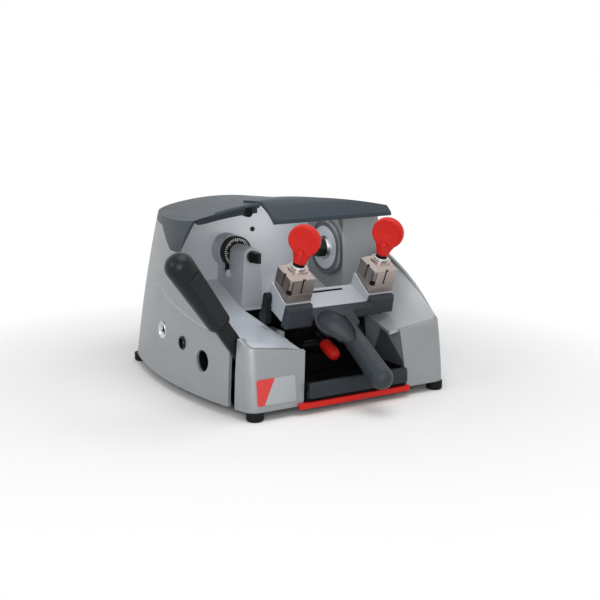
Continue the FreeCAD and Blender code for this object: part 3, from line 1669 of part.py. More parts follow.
rocker_key = slab("rocker_key", "x", [
    (-rocker_depth, -rocker_half / 2),
    (rocker_rise, -rocker_half),
    (rocker_rise / 2, 0),
    (rocker_rise, rocker_half),
    (-rocker_depth, rocker_half / 2),
], (-rocker_width / 2, rocker_width / 2))
rocker_span = (fit_gap - rocker_reach, rocker_reach - fit_gap)
piece(
    "power_rocker",
    fuse("rocker", rocker_key, rod("rocker_axle", rocker_pin / 2, "x", (0, 0), rocker_span)),
    at=(switch_x, rocker_y, inlet_z),
    axis=X_AXIS,
    angle=rocker_tilt,
)

# Plugs in the left side wall and the small screws
piece("side_cap", rod(
    "cap", cap_hole / 2 - fit_gap, "x", (cap_y, cap_z), (-cap_face, plug_length - cap_face)
))
bush_centre = (-bush_y, bush_z)
piece("side_bush", cut(
    "bush",
    rod("bush_barrel", bush_hole / 2 - fit_gap, "x", bush_centre, (-bush_face, plug_length - bush_face)),
    rod("bush_recess", bush_hole / 4, "x", bush_centre, (-bush_face, plug_proud - bush_face)),
))


def screw(name, x, y, z, axis):
    """A small domed screw head lying on a wall."""
    return moved(name, [turned(name + "_head", [
        (0, 0),
        (screw_diameter / 2, 0),
        (screw_diameter / 2, plate_proud / 2),
        (screw_diameter / 3, plate_proud),
        (0, plate_proud),
    ], "y")], (x, y, z), Z_AXIS, as_size(axis))


piece(
    "panel_screws",
    screw("inner_screw", -wall_screw_x, wall_y, wall_screw_z, 180),
    *[
        screw(
            f"panel_screw{column}{row}",
            (rear_panel_half - screw_inset) * side,
            casing_rear,
            vent_low + vent_pitch * VENT_ROWS * part,
            0,
        )
        for column, side in enumerate((-1, 1))
        for row, part in enumerate((0, 1))
    ],
)

# Check every object, then write each sub-part
doc.recompute()
for item in doc.Objects:
    if "Invalid" in item.State or "Error" in item.State:
        raise RuntimeError(f"{item.Name} is in state {item.State}")
os.makedirs("parts", exist_ok=True)
for item in pieces:
    if item.Shape.isNull() or not item.Shape.isValid() or not item.Shape.Solids:
        raise RuntimeError(f"{item.Name} has no valid shape")
    item.Shape.exportStep(f"parts/{item.Label}.step")
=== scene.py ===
import json
import math

import bmesh
import bpy
from mathutils import Matrix, Vector
from mathutils.bvhtree import BVHTree


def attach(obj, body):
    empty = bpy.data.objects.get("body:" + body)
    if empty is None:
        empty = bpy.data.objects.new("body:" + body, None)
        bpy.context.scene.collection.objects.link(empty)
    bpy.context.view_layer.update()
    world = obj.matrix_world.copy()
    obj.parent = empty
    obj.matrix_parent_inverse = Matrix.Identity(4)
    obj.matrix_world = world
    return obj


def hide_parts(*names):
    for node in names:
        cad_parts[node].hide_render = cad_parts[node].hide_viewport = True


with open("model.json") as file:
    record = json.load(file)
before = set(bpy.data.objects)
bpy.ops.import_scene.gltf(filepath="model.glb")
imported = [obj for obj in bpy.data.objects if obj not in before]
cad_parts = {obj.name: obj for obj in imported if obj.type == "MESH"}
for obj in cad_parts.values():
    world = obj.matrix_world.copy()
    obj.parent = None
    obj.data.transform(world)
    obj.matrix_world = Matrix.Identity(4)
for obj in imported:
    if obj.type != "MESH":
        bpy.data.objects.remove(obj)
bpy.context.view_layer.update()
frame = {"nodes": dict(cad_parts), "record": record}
nodes = frame["nodes"]
slot_of = {part["node"]: part["material_slot"] for part in frame["record"]["subparts"]}
scene = bpy.context.scene

# Lengths are in millimetres from the middle of the feet, unless a comment says otherwise
MM = 0.001
FEET = Vector((35.4, 27.6, 0.0)) * MM
ORIGIN = Matrix.Translation(FEET) @ Matrix.Scale(MM, 4)
BACK = ORIGIN.inverted()
RIGHT = Vector((1, 0, 0))
REARWARD = Vector((0, 1, 0))
UP = Vector((0, 0, 1))
DOWN = Vector((0, 0, -1))

# Places outside the machine that rays start from
FAR_LEFT = -260.0
FAR_FRONT = -300.0
FAR_ABOVE = 300.0


def turn(degrees, axis):
    """A rotation about one axis."""
    return Matrix.Rotation(math.radians(degrees), 4, axis)


def shift(x, y, z):
    """A move by millimetres."""
    return Matrix.Translation((x, y, z))


# The tilted carriage, the leaning lever, the clamps on the carriage and the height of the cutter's axis
PIVOT = (0, -45, 50)
TILT = 23.0
CARRIAGE = ORIGIN @ shift(*PIVOT) @ turn(TILT, "X")
LEVER_FOOT = (-108, -147, 28)
LEVER_LEAN = -34.7
LEVER = ORIGIN @ shift(*LEVER_FOOT) @ turn(LEVER_LEAN, "Y")
STATIONS = {"left": -50.0, "right": 79.4}
CLAMP_Y = -28.0
CLAMP_HALF = 18.5
SPLIT_Z = 122.0
EDGE_Z = 143.5
BOSS_TOP = 151.5
KNOB_BASE = 159.5
HEAD_Z = 175.0


# Materials; the depths of their grain and the radius of their paler edges, which are partly wear and partly
# painted highlight, are in metres
NOISE_SPAN = (0.3, 0.7)
MOTTLE_SCALE = 14.0
MOTTLE_DETAIL = 4.0
GRAIN_DETAIL = 2.0
STAIN_SCALE = 25.0
SHEEN_SCALE = 60.0
SHEEN_SPREAD = 0.03
GLOSSIER = 0.06
DULLER = 0.08
EDGE_WEAR_AND_HIGHLIGHT_RADIUS = 0.0008
EDGE_WEAR_AND_HIGHLIGHT_COSINES = (0.75, 0.97)
EDGE_WEAR_AND_HIGHLIGHT_SAMPLES = 4


def shade(colour, factor):
    """A colour made lighter or darker."""
    return tuple(min(1.0, part * factor) for part in colour)


class Tree:
    """The node tree of a material or a world, with short ways to add and join nodes."""

    def __init__(self, owner):
        owner.use_nodes = True
        self.owner = owner
        self.nodes = owner.node_tree.nodes
        self.links = owner.node_tree.links

    def add(self, kind, **settings):
        """A new node with some of its properties set."""
        node = self.nodes.new(kind)
        for name, value in settings.items():
            setattr(node, name, value)
        return node

    def feed(self, socket, source):
        """Lead an output into an input, or set the input to a constant."""
        if isinstance(source, bpy.types.NodeSocket):
            self.links.new(source, socket)
        else:
            socket.default_value = source

    def maths(self, operation, *sources):
        """The result of a maths operation on some values."""
        node = self.add("ShaderNodeMath", operation=operation)
        for socket, source in zip(node.inputs, sources):
            self.feed(socket, source)
        return node.outputs[0]

    def span(self, source, low, high, limits=NOISE_SPAN):
        """A value moved from one range to another."""
        node = self.add("ShaderNodeMapRange")
        self.feed(node.inputs["Value"], source)
        for name, value in zip(("From Min", "From Max", "To Min", "To Max"), (*limits, low, high)):
            self.feed(node.inputs[name], value)
        return node.outputs["Result"]

    def seen(self):
        """Whether a ray shows the background: from the camera, from something shiny or through glass."""
        rays = self.add("ShaderNodeLightPath").outputs
        plain = self.maths("MAXIMUM", rays["Is Camera Ray"], rays["Is Glossy Ray"])
        return self.maths("MAXIMUM", plain, rays["Is Transmission Ray"])


class Coat(Tree):
    """The node tree of a new material, with its shader and the place of each point on its object."""

    def __init__(self, name):
        super().__init__(bpy.data.materials.new(name))
        self.shader = self.nodes["Principled BSDF"]
        self.place = self.add("ShaderNodeTexCoord").outputs["Object"]

    def set(self, **sources):
        """Feed the shader's own sockets, with _ for a space in their names."""
        for name, source in sources.items():
            self.feed(self.shader.inputs[name.replace("_", " ")], source)

    def noise(self, scale, detail=3.0):
        """Cloudy noise."""
        node = self.add("ShaderNodeTexNoise")
        for name, source in (("Vector", self.place), ("Scale", scale), ("Detail", detail)):
            self.feed(node.inputs[name], source)
        return node.outputs["Fac"]

    def ramp(self, source, low, high):
        """A colour between two, along the middle of a noise."""
        node = self.add("ShaderNodeValToRGB")
        for element, place, colour in zip(node.color_ramp.elements, NOISE_SPAN, (low, high)):
            element.position = place
            element.color = (*colour, 1.0)
        self.feed(node.inputs["Fac"], source)
        return node.outputs["Color"]

    def edges(self, radius):
        """How far a point lies on a crease, from the normal of a rounded copy of the surface."""
        rounded = self.add("ShaderNodeBevel", samples=EDGE_WEAR_AND_HIGHLIGHT_SAMPLES)
        self.feed(rounded.inputs["Radius"], radius)
        plain = self.add("ShaderNodeNewGeometry")
        dot = self.add("ShaderNodeVectorMath", operation="DOT_PRODUCT")
        self.feed(dot.inputs[0], rounded.outputs["Normal"])
        self.feed(dot.inputs[1], plain.outputs["Normal"])
        return self.span(dot.outputs["Value"], 1.0, 0.0, EDGE_WEAR_AND_HIGHLIGHT_COSINES)

    def mix(self, factor, first, second):
        """One colour over another, each a socket or a constant."""
        node = self.add("ShaderNodeMix", data_type="RGBA")
        self.feed(node.inputs["Factor"], factor)
        for socket, value in zip(node.inputs[6:8], (first, second)):
            self.feed(socket, (*value, 1.0) if isinstance(value, tuple) else value)
        return node.outputs[2]

    def bump(self, height, distance):
        """A bump of a depth in metres."""
        node = self.add("ShaderNodeBump")
        self.feed(node.inputs["Distance"], distance)
        self.feed(node.inputs["Height"], height)
        self.set(Normal=node.outputs["Normal"])


def coated(name, colour, roughness, grain=900.0, depth=0.00002, spread=0.06, worn=None, **constants):
    """Paint or moulded plastic with faint mottling, uneven sheen, a fine grain and paler edges that are
    partly wear and partly painted highlight.
    """
    coat = Coat(name)
    mottle = coat.noise(MOTTLE_SCALE, MOTTLE_DETAIL)
    base = coat.ramp(mottle, shade(colour, 1 - spread), shade(colour, 1 + spread))
    # Paler edges: partly wear and partly painted highlight
    if worn:
        base = coat.mix(coat.edges(EDGE_WEAR_AND_HIGHLIGHT_RADIUS), base, worn)
    sheen = coat.span(coat.noise(SHEEN_SCALE), roughness - SHEEN_SPREAD, roughness + SHEEN_SPREAD)
    coat.set(Base_Color=base, Roughness=sheen, **constants)
    coat.bump(coat.noise(grain, GRAIN_DETAIL), depth)
    return coat.owner


def metal(name, colour, roughness, grain=500.0, depth=0.0000015, spread=0.04):
    """Bare or plated metal with faint stains, fine marks of machining and uneven sheen."""
    coat = Coat(name)
    base = coat.ramp(coat.noise(STAIN_SCALE), shade(colour, 1 - spread), shade(colour, 1 + spread))
    marks = coat.noise(grain)
    sheen = coat.span(marks, roughness - GLOSSIER, roughness + DULLER)
    coat.set(Base_Color=base, Roughness=sheen, Metallic=1.0)
    coat.bump(marks, depth)
    return coat.owner


# The edge colours lighten creases, partly as wear and partly as painted highlight
COATINGS = {
    "casing": dict(colour=(0.275, 0.292, 0.304), roughness=0.4, worn=(0.38, 0.4, 0.41), Metallic=0.3),
    # Painted light: a lighter copy of the casing paint, for the right deck
    "lit_casing": dict(colour=(0.35, 0.37, 0.385), roughness=0.4, worn=(0.44, 0.46, 0.47), Metallic=0.3),
    "lining": dict(
        colour=(0.6, 0.625, 0.66), roughness=0.42, grain=1100.0, worn=(0.68, 0.7, 0.72), Metallic=0.2,
    ),
    "deck": dict(
        colour=(0.62, 0.665, 0.73), roughness=0.36, grain=1400.0, depth=0.000008, spread=0.03, Metallic=0.25,
    ),
    "slate": dict(
        colour=(0.046, 0.06, 0.073), roughness=0.42, grain=1300.0, spread=0.03, worn=(0.085, 0.1, 0.115),
        Specular_IOR_Level=0.1,
    ),
    "handle": dict(
        colour=(0.034, 0.041, 0.048), roughness=0.34, grain=1300.0, worn=(0.1, 0.11, 0.12),
        Specular_IOR_Level=0.16,
    ),
    "dark": dict(
        colour=(0.026, 0.032, 0.038), roughness=0.36, grain=1300.0, worn=(0.07, 0.08, 0.09),
        Specular_IOR_Level=0.14,
    ),
    "black": dict(
        colour=(0.0035, 0.0037, 0.0042), roughness=0.42, grain=1300.0, worn=(0.012, 0.013, 0.014),
        Specular_IOR_Level=0.14,
    ),
    "grip": dict(colour=(0.008, 0.0095, 0.012), roughness=0.3, grain=1300.0, Specular_IOR_Level=0.21),
    "red": dict(colour=(0.58, 0.016, 0.011), roughness=0.42, Specular_IOR_Level=0.2),
    "grey_cast": dict(colour=(0.45, 0.48, 0.52), roughness=0.42, worn=(0.58, 0.6, 0.63), Metallic=0.2),
    "iron": dict(colour=(0.05, 0.05, 0.054), roughness=0.5),
    "rubber": dict(colour=(0.005, 0.005, 0.005), roughness=0.6, Specular_IOR_Level=0.15),
    # Dark steel, also used as painted shade on the carriage's lower faces and on its shaft
    "black_steel": dict(colour=(0.008, 0.009, 0.01), roughness=0.36, Metallic=0.2, Specular_IOR_Level=0.25),
    "white_mark": dict(colour=(0.75, 0.75, 0.74), roughness=0.5),
    # Near-black, mostly painted shade in slots, grooves and holes
    "black_and_painted_shade": dict(colour=(0.006, 0.005, 0.005), roughness=0.6, Specular_IOR_Level=0.1),
    # Painted highlight for the bead along the crease of the left wall
    "painted_crease_highlight": dict(colour=(0.4, 0.42, 0.435), roughness=0.36, Metallic=0.2),
    # Painted shade on the walls of the cavity
    "cavity": dict(
        colour=(0.11, 0.12, 0.14), roughness=0.4, grain=1500.0, depth=0.00001, spread=0.2, Metallic=0.4,
    ),
    "cutter_disc": dict(
        colour=(0.55, 0.58, 0.63), roughness=0.34, grain=1600.0, depth=0.000004, spread=0.04, Metallic=0.45,
    ),
    "cutter_rim": dict(
        colour=(0.1, 0.105, 0.115), roughness=0.34, grain=1600.0, depth=0.000004, worn=(0.4, 0.42, 0.45),
        Metallic=0.5,
    ),
}
METALS = {
    "steel": dict(colour=(0.45, 0.45, 0.46), roughness=0.3, depth=0.000002),
    "chrome": dict(colour=(0.6, 0.615, 0.64), roughness=0.2),
    "nickel": dict(colour=(0.45, 0.385, 0.36), roughness=0.34, grain=900.0, spread=0.05),
    # Painted shade: a darker copy of nickel for the posts in the jaws' corners
    "shaded_nickel": dict(colour=(0.27, 0.225, 0.205), roughness=0.4, grain=900.0, spread=0.05),
}
MATERIALS = {name: coated(name, **look) for name, look in COATINGS.items()}
MATERIALS.update((name, metal(name, **look)) for name, look in METALS.items())
# Painted shade in slots, grooves and holes, and the black of the dial's index tab
SHADOW = MATERIALS["black_and_painted_shade"]

# Solids that look other than their slot's name says
PAINTED = {
    "tracer_point": "black_steel",
    "lock_pin": "black_steel",
    "tracer_dial": "black",
    "cutter_nut": "black_steel",
    # Painted shade: the shaft is made dark as it lies in the shade of the cavity
    "carriage_shaft": "black_steel",
    # Painted light: the right deck in a lighter copy of the casing paint
    "right_deck": "lit_casing",
    "tracer_pillar": "grey_cast",
    "head_housing": "casing",
    # Painted shade: the screws are made dark like holes in shade
    "panel_screws": "black_steel",
}

# Creases of the solids: smooth shading up to a sharp angle, and small roundings on some of them
SHARP = math.radians(28)
ROUNDED_ANGLE = math.radians(35)
FLAT_ANGLE = math.radians(0.6)
SAME_SPOT = 1e-5  # metres
ROUNDED = {
    "top_cover": 1.0, "carriage_body": 0.7, "front_cheek": 0.6, "left_casing": 0.5, "right_casing": 0.6,
    "lever_arm": 0.6, "shoulder_gauge": 0.6, "tracer_pillar": 0.8, "head_housing": 0.6, "tray_pull": 1.5,
    "chip_tray": 1.2, "left_upper_jaw": 0.4, "right_upper_jaw": 0.4, "left_lower_jaw": 0.4,
    "right_lower_jaw": 0.4,
}
SHELLS = ("top_cover", "left_casing", "right_casing")


def crease_keys(mesh):
    """For each edge of a mesh whose faces do not share corners, a key that its twin has too."""
    spots = [tuple(round(part, 6) for part in vertex.co) for vertex in mesh.vertices]
    return {
        tuple(sorted(edge.vertices)): tuple(sorted(spots[number] for number in edge.vertices))
        for edge in mesh.edges
    }


def mark_creases(mesh):
    """Mark the sharp edges of an imported solid."""
    keys = crease_keys(mesh)
    around = {}
    for face in mesh.polygons:
        face.use_smooth = True
        for pair in face.edge_keys:
            around.setdefault(keys[tuple(sorted(pair))], []).append(face.normal.copy())
    for name in ("custom_normal", "sharp_face"):
        if name in mesh.attributes:
            mesh.attributes.remove(mesh.attributes[name])
    for edge in mesh.edges:
        sides = around[keys[tuple(sorted(edge.vertices))]]
        edge.use_edge_sharp = len(sides) == 2 and sides[0].angle(sides[1], 0.0) > SHARP


def joined(thing):
    """Let a solid's faces share their corners."""
    thing.modifiers.new("join", "WELD").merge_threshold = SAME_SPOT


def soften(thing, width, merged):
    """Round a solid's creases by a small width, with its flat faces merged first where that is asked."""
    if merged:
        merge = thing.modifiers.new("merge", "DECIMATE")
        merge.decimate_type = "DISSOLVE"
        merge.angle_limit = FLAT_ANGLE
        merge.delimit = {"SHARP"}
    bevel = thing.modifiers.new("bevel", "BEVEL")
    bevel.width = width * MM
    bevel.segments = 2
    bevel.limit_method = "ANGLE"
    bevel.angle_limit = ROUNDED_ANGLE
    bevel.harden_normals = True
    bevel.use_clamp_overlap = True


for name, thing in nodes.items():
    thing.data.materials.clear()
    thing.data.materials.append(MATERIALS[PAINTED.get(name, slot_of[name])])
    mark_creases(thing.data)
    joined(thing)
    if name in ROUNDED:
        soften(thing, ROUNDED[name], name not in SHELLS)

# The parts of the carriage and of the decks that lie down in the cavity get dark materials as painted shade
CARRIAGE_SHADE_TOP = 83.0
CAVITY_TOP = 100.0
SIDE_NORMAL = 0.8
INNER_WALL = {"left_deck": -73.0, "right_deck": 84.0}


def repaint(name, material, test, limit):
    """Give another material to the faces of a solid that pass a test with a limit."""
    mesh = nodes[name].data
    mesh.materials.append(material)
    for face in mesh.polygons:
        if test(face, limit):
            face.material_index = 1


def low_on_carriage(face, height):
    """Whether a face lies under a height on the carriage."""
    return (CARRIAGE.inverted() @ face.center).z < height


def on_wall(face, wall_x):
    """Whether a face stands upright towards a side, further out than a wall."""
    spot = BACK @ face.center
    further_out = spot.x * math.copysign(1, wall_x) > abs(wall_x)
    return abs(face.normal.x) > SIDE_NORMAL and spot.z < CAVITY_TOP and further_out


# Painted shade: the carriage's faces low in the cavity are made dark
repaint("carriage_body", MATERIALS["black_steel"], low_on_carriage, CARRIAGE_SHADE_TOP)
for name, wall_x in INNER_WALL.items():
    repaint(name, MATERIALS["cavity"], on_wall, wall_x)

# Ways to make new pieces
SMOOTHING = 0.5


def placed(name, data):
    """A new object in the scene."""
    thing = bpy.data.objects.new(name, data)
    scene.collection.objects.link(thing)
    return thing


def carried(thing, body, replaces=()):
    """Let an object ride on a body and the solids in whose place it stands."""
    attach(thing, body)
    if replaces:
        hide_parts(*replaces)
    return thing


def piece(name, form, body, *materials, slot=None, replaces=(), outward=False):
    """Turn a bmesh in metres into a smooth piece that rides on a body."""
    if outward:
        bmesh.ops.recalc_face_normals(form, faces=form.faces)
    form.normal_update()
    for edge in form.edges:
        edge.smooth = len(edge.link_faces) != 2 or edge.calc_face_angle(0.0) < SHARP
    for face in form.faces:
        face.smooth = True
    mesh = bpy.data.meshes.new(name)
    form.to_mesh(mesh)
    form.free()
    for material in materials:
        mesh.materials.append(material)
    return carried(placed(name, mesh), body, replaces)


def lowered(name, source, fall):
    """A copy of a solid with its points lowered, in place of the solid."""
    mesh = nodes[source].data.copy()
    for vertex in mesh.vertices:
        vertex.co.z -= fall(BACK @ vertex.co) * MM
    thing = placed(name, mesh)
    joined(thing)
    return carried(thing, "base", (source,))


def tube(name, spots, radius, material, resolution=4, capped=True):
    """A round bead through some places."""
    curve = bpy.data.curves.new(name, "CURVE")
    curve.dimensions = "3D"
    curve.bevel_depth = radius * MM
    curve.bevel_resolution = resolution
    curve.use_fill_caps = capped
    line = curve.splines.new("NURBS")
    line.points.add(len(spots) - 1)
    line.use_endpoint_u = True
    for point, spot in zip(line.points, spots):
        point.co = (*(ORIGIN @ spot), 1.0)
    curve.materials.append(material)
    carried(placed(name, curve), "base")


def oval_ring(sides, width, depth, height):
    """Points round an oval with two half widths."""
    angles = [2 * math.pi * number / sides for number in range(sides)]
    return [Vector((width * math.cos(angle), depth * math.sin(angle), height)) for angle in angles]


def toothed_ring(sides, even, odd, height):
    """Points that lie by turns on two ovals, each given by its half widths."""
    ring = oval_ring(sides, *even, height)
    ring[1::2] = oval_ring(sides, *odd, height)[1::2]
    return ring


def skinned(form, rows, paints):
    """Faces between closed rows of corners, with a material for each band."""
    for first, second, paint in zip(rows, rows[1:], paints):
        for number in range(len(first)):
            following = (number + 1) % len(first)
            corners = (first[number], first[following], second[following], second[number])
            form.faces.new(list(dict.fromkeys(corners))).material_index = paint


def lofted(form, rings):
    """Skin a row of closed rings of points, with a cap at each end."""
    rows = [[form.verts.new(point) for point in ring] for ring in rings]
    skinned(form, rows, [0] * len(rows))
    form.faces.new(list(reversed(rows[0])))
    form.faces.new(rows[-1])
    return form


def revolved(form, profile, matrix, sides=64):
    """Turn a profile of (radius, height) or (radius, height, material) about the Z axis of a frame."""
    rows = []
    for radius, height, *_ in profile:
        if radius:
            rows.append([form.verts.new(matrix @ spot) for spot in oval_ring(sides, radius, radius, height)])
        else:
            rows.append([form.verts.new(matrix @ Vector((0, 0, height)))] * sides)
    skinned(form, rows, [point[2] if len(point) > 2 else 0 for point in profile[1:]])
    return form


def boxed(form, matrix, low, high):
    """Add a box between two corners of a frame."""
    middle = (Vector(low) + Vector(high)) / 2
    size = Vector(high) - Vector(low)
    place = matrix @ Matrix.Translation(middle) @ Matrix.Diagonal((*size, 1.0))
    bmesh.ops.create_cube(form, size=1.0, matrix=place)


def oval(form, matrix, rings, sides=40):
    """A loft of oval rings of (height, half width, half depth) up the Z axis of a frame."""
    lofted(form, [
        [matrix @ spot for spot in oval_ring(sides, width, depth, height)] for height, width, depth in rings
    ])


def capsule(form, matrix, low, high, radius, depth, steps=6, sides=20):
    """A standing bar with round ends and an oval section."""
    rings = []
    for step in range(1, steps + 1):
        angle = math.pi / 2 * step / steps
        rings.append((low - radius * math.cos(angle), radius * math.sin(angle), depth * math.sin(angle)))
    for step in range(steps):
        angle = math.pi / 2 * step / steps
        rings.append((high + radius * math.sin(angle), radius * math.cos(angle), depth * math.cos(angle)))
    oval(form, matrix, rings, sides)


def box_of(name):
    """The least and greatest corner of a solid."""
    spots = [BACK @ vertex.co for vertex in nodes[name].data.vertices]
    return [Vector([pick(spot[axis] for spot in spots) for axis in range(3)]) for pick in (min, max)]


def surface(*meshes):
    """The surface of some meshes, for rays to be cast at."""
    spots = []
    faces = []
    for mesh in meshes:
        start = len(spots)
        spots += [BACK @ vertex.co for vertex in mesh.vertices]
        faces += [[start + number for number in face.vertices] for face in mesh.polygons]
    return BVHTree.FromPolygons(spots, faces)


def over(tree, x, y):
    """The top of a surface at one place, or None."""
    return tree.ray_cast(Vector((x, y, FAR_ABOVE)), DOWN)[0]


def held(name, form):
    """An object in the scene that holds a form for a while."""
    mesh = bpy.data.meshes.new(name)
    form.to_mesh(mesh)
    form.free()
    return placed(name, mesh)


def voxelled(thing, size):
    """Make an object's skin anew from voxels."""
    remesh = thing.modifiers.new("remesh", "REMESH")
    remesh.mode = "VOXEL"
    remesh.voxel_size = size * MM


def moulded(add, voxel, rounds, source=None, hollow=None):
    """Some forms and a solid made one, hollowed where that is given, and softened as a moulding is."""
    form = bmesh.new()
    if source:
        form.from_mesh(nodes[source].data)
        bmesh.ops.remove_doubles(form, verts=form.verts, dist=SAME_SPOT)
    add(form)
    blank = held("blank", form)
    holders = [blank]
    voxelled(blank, voxel)
    if hollow:
        tool = bmesh.new()
        hollow(tool)
        holders.append(held("tool", tool))
        carve = blank.modifiers.new("carve", "BOOLEAN")
        carve.operation = "DIFFERENCE"
        carve.object = holders[1]
        voxelled(blank, voxel)
    smooth = blank.modifiers.new("smooth", "SMOOTH")
    smooth.factor = SMOOTHING
    smooth.iterations = rounds
    bpy.context.view_layer.update()
    ready = bpy.data.meshes.new_from_object(blank.evaluated_get(bpy.context.evaluated_depsgraph_get()))
    for holder in holders:
        mesh = holder.data
        bpy.data.objects.remove(holder)
        bpy.data.meshes.remove(mesh)
    result = bmesh.new()
    result.from_mesh(ready)
    bpy.data.meshes.remove(ready)
    return result


# The left deck and the top of the cheek fall towards the cavity. The fall grows to the right, on the deck
# also to the front, and fades out downward. The deck rolls down along its front edge too.
FALL_DEPTH = 11.0
FALL_LEFT = -147.0
FALL_RIGHT = -77.0
FALL_REAR = -7.0
FALL_FRONT = -176.0
FALL_HIGH = 90.0
CHEEK_LOW = 55.0
DECK_LOW = 40.0
ROLL_DEPTH = 8.0
ROLL_REAR = -158.0
ROLL_FRONT = -172.0


def share_of(value, start, end):
    """How far a value lies between two others, from 0 to 1."""
    return min(1.0, max(0.0, (value - start) / (end - start)))


def deck_fall(spot):
    """How far a point of the deck is lowered."""
    lean = FALL_DEPTH * share_of(spot.x, FALL_LEFT, FALL_RIGHT) * share_of(spot.y, FALL_REAR, FALL_FRONT)
    roll = ROLL_DEPTH * share_of(spot.y, ROLL_REAR, ROLL_FRONT)
    return (lean + roll) * share_of(spot.z, DECK_LOW, FALL_HIGH)


def cheek_fall(spot):
    """How far a point of the cheek is lowered."""
    return FALL_DEPTH * share_of(spot.x, FALL_LEFT, FALL_RIGHT) * share_of(spot.z, CHEEK_LOW, FALL_HIGH)


deck_form = lowered("deck_form", "left_deck", deck_fall)
cheek_form = lowered("cheek_form", "front_cheek", cheek_fall)

# Front cover and handle, moulded in one, with a dish for the thumb
HANDLE = CARRIAGE @ shift(0, -49, 98) @ turn(5, "X")
DISH = ORIGIN @ shift(-10.8, -150.5, 106) @ turn(36, "X")
DISH_PROFILE = ((0, -15.5), (9, -15), (17, -11.5), (22, -6), (23.6, -1.5), (23.6, 0), (0, 0))
HANDLE_FROM = Vector((11, -140, 101))
HANDLE_TO = Vector((11, -244.5, 39))
HANDLE_WIDTH = (12.4, 2.9)  # the half width at the dish and its gain to the end, and so for the height
HANDLE_HEIGHT = (12.0, 1.6)
HANDLE_VOXEL = 1.0
HANDLE_ROUNDS = 5
HANDLE_STEPS = 48
HANDLE_SIDES = 48
HANDLE_SQUARE = 0.8
ROUND_FROM = 0.87
ROUND_LENGTH = 0.13
TIP_SQUARED = 0.0009
RIDGE_HEIGHT = 0.36
RIDGE_POWER = 1.4
WEB = (  # y, left, right, low, high
    (4, -24, 50, -14, -0.5),
    (-4, -22, 42, -14, -0.5),
    (-10, -18, 34, -14, 0),
    (-17, -12, 29.5, -15, 0.5),
    (-28, -6, 27, -17, 1),
    (-38, -2, 25.5, -18, 1),
)
BLOCK_SECTION = ((-50.5, 78.5), (-60.4, 78.5), (-62.6, 80.8), (-61.9, 84.5), (-59.2, 98), (-50.5, 98))
BLOCK_ENDS = ((-71.4, 1.0), (-70.2, 0), (-31.4, 0))
FILLET = DISH @ shift(11, -17, -8) @ Matrix.Diagonal((13, 11, 9, 1))
LEAF = DISH @ shift(0, 0, 2) @ turn(-68, "Z")
LEAF_TIP = 42
LEAF_ROOT = 21
LEAF_HALF = 21.4
LEAF_DEPTH = 13.5
LEAF_NARROWS = 0.3
LEAF_RISES = 0.25


def power(value, exponent):
    """A power that keeps the sign."""
    return math.copysign(abs(value) ** exponent, value)


def handle_grip(form):
    """The grip, which widens towards its round end, with a soft ridge along its top."""
    above = (HANDLE_TO - HANDLE_FROM).normalized().cross(RIGHT)
    rings = []
    for step in range(HANDLE_STEPS + 1):
        share = math.sin(math.pi / 2 * step / HANDLE_STEPS)
        sunk = max(0.0, (share - ROUND_FROM) / ROUND_LENGTH)
        end = math.sqrt(max(TIP_SQUARED, 1 - sunk * sunk))
        half_width = (HANDLE_WIDTH[0] + HANDLE_WIDTH[1] * share) * end
        half_height = (HANDLE_HEIGHT[0] + HANDLE_HEIGHT[1] * share) * end
        ring = []
        for number in range(HANDLE_SIDES):
            angle = 2 * math.pi * number / HANDLE_SIDES
            across = half_width * power(math.cos(angle), HANDLE_SQUARE)
            rise = half_height * power(math.sin(angle), HANDLE_SQUARE)
            if rise > 0:
                rise += RIDGE_HEIGHT * half_height * (1 - abs(across) / half_width) ** RIDGE_POWER
            middle = HANDLE_FROM.lerp(HANDLE_TO, share)
            ring.append(ORIGIN @ (middle + Vector((across, 0, 0)) + above * rise))
        rings.append(ring)
    lofted(form, rings)


def handle_parts(form):
    """The dish, the grip, the web to the cover, the block on the cover's left and a fillet by the dish."""
    revolved(form, DISH_PROFILE, DISH)
    handle_grip(form)
    web_rings = []
    for y, left, right, low, high in WEB:
        corners = ((left, low), (right, low), (right, high), (left, high))
        web_rings.append([HANDLE @ Vector((x, y, z)) for x, z in corners])
    lofted(form, web_rings)
    lofted(form, [
        [CARRIAGE @ Vector((x, y + inset, z)) for y, z in BLOCK_SECTION] for x, inset in BLOCK_ENDS
    ])
    bmesh.ops.create_icosphere(form, subdivisions=4, radius=1, matrix=FILLET)


def dish_hollow(form):
    """The bowl of the dish, drawn out to a tip along the grip, where it is narrower and shallower."""
    for vertex in bmesh.ops.create_icosphere(form, subdivisions=5, radius=1)["verts"]:
        forward = max(0.0, vertex.co.x)
        vertex.co = LEAF @ Vector((
            vertex.co.x * (LEAF_TIP if forward else LEAF_ROOT),
            vertex.co.y * LEAF_HALF * (1 - LEAF_NARROWS * forward),
            vertex.co.z * LEAF_DEPTH * (1 - LEAF_RISES * forward),
        ))


piece(
    "handle_moulding", moulded(handle_parts, HANDLE_VOXEL, HANDLE_ROUNDS, "carriage_cover", dish_hollow),
    "carriage", MATERIALS["handle"], slot="dark", replaces=("carriage_handle", "carriage_cover"),
)

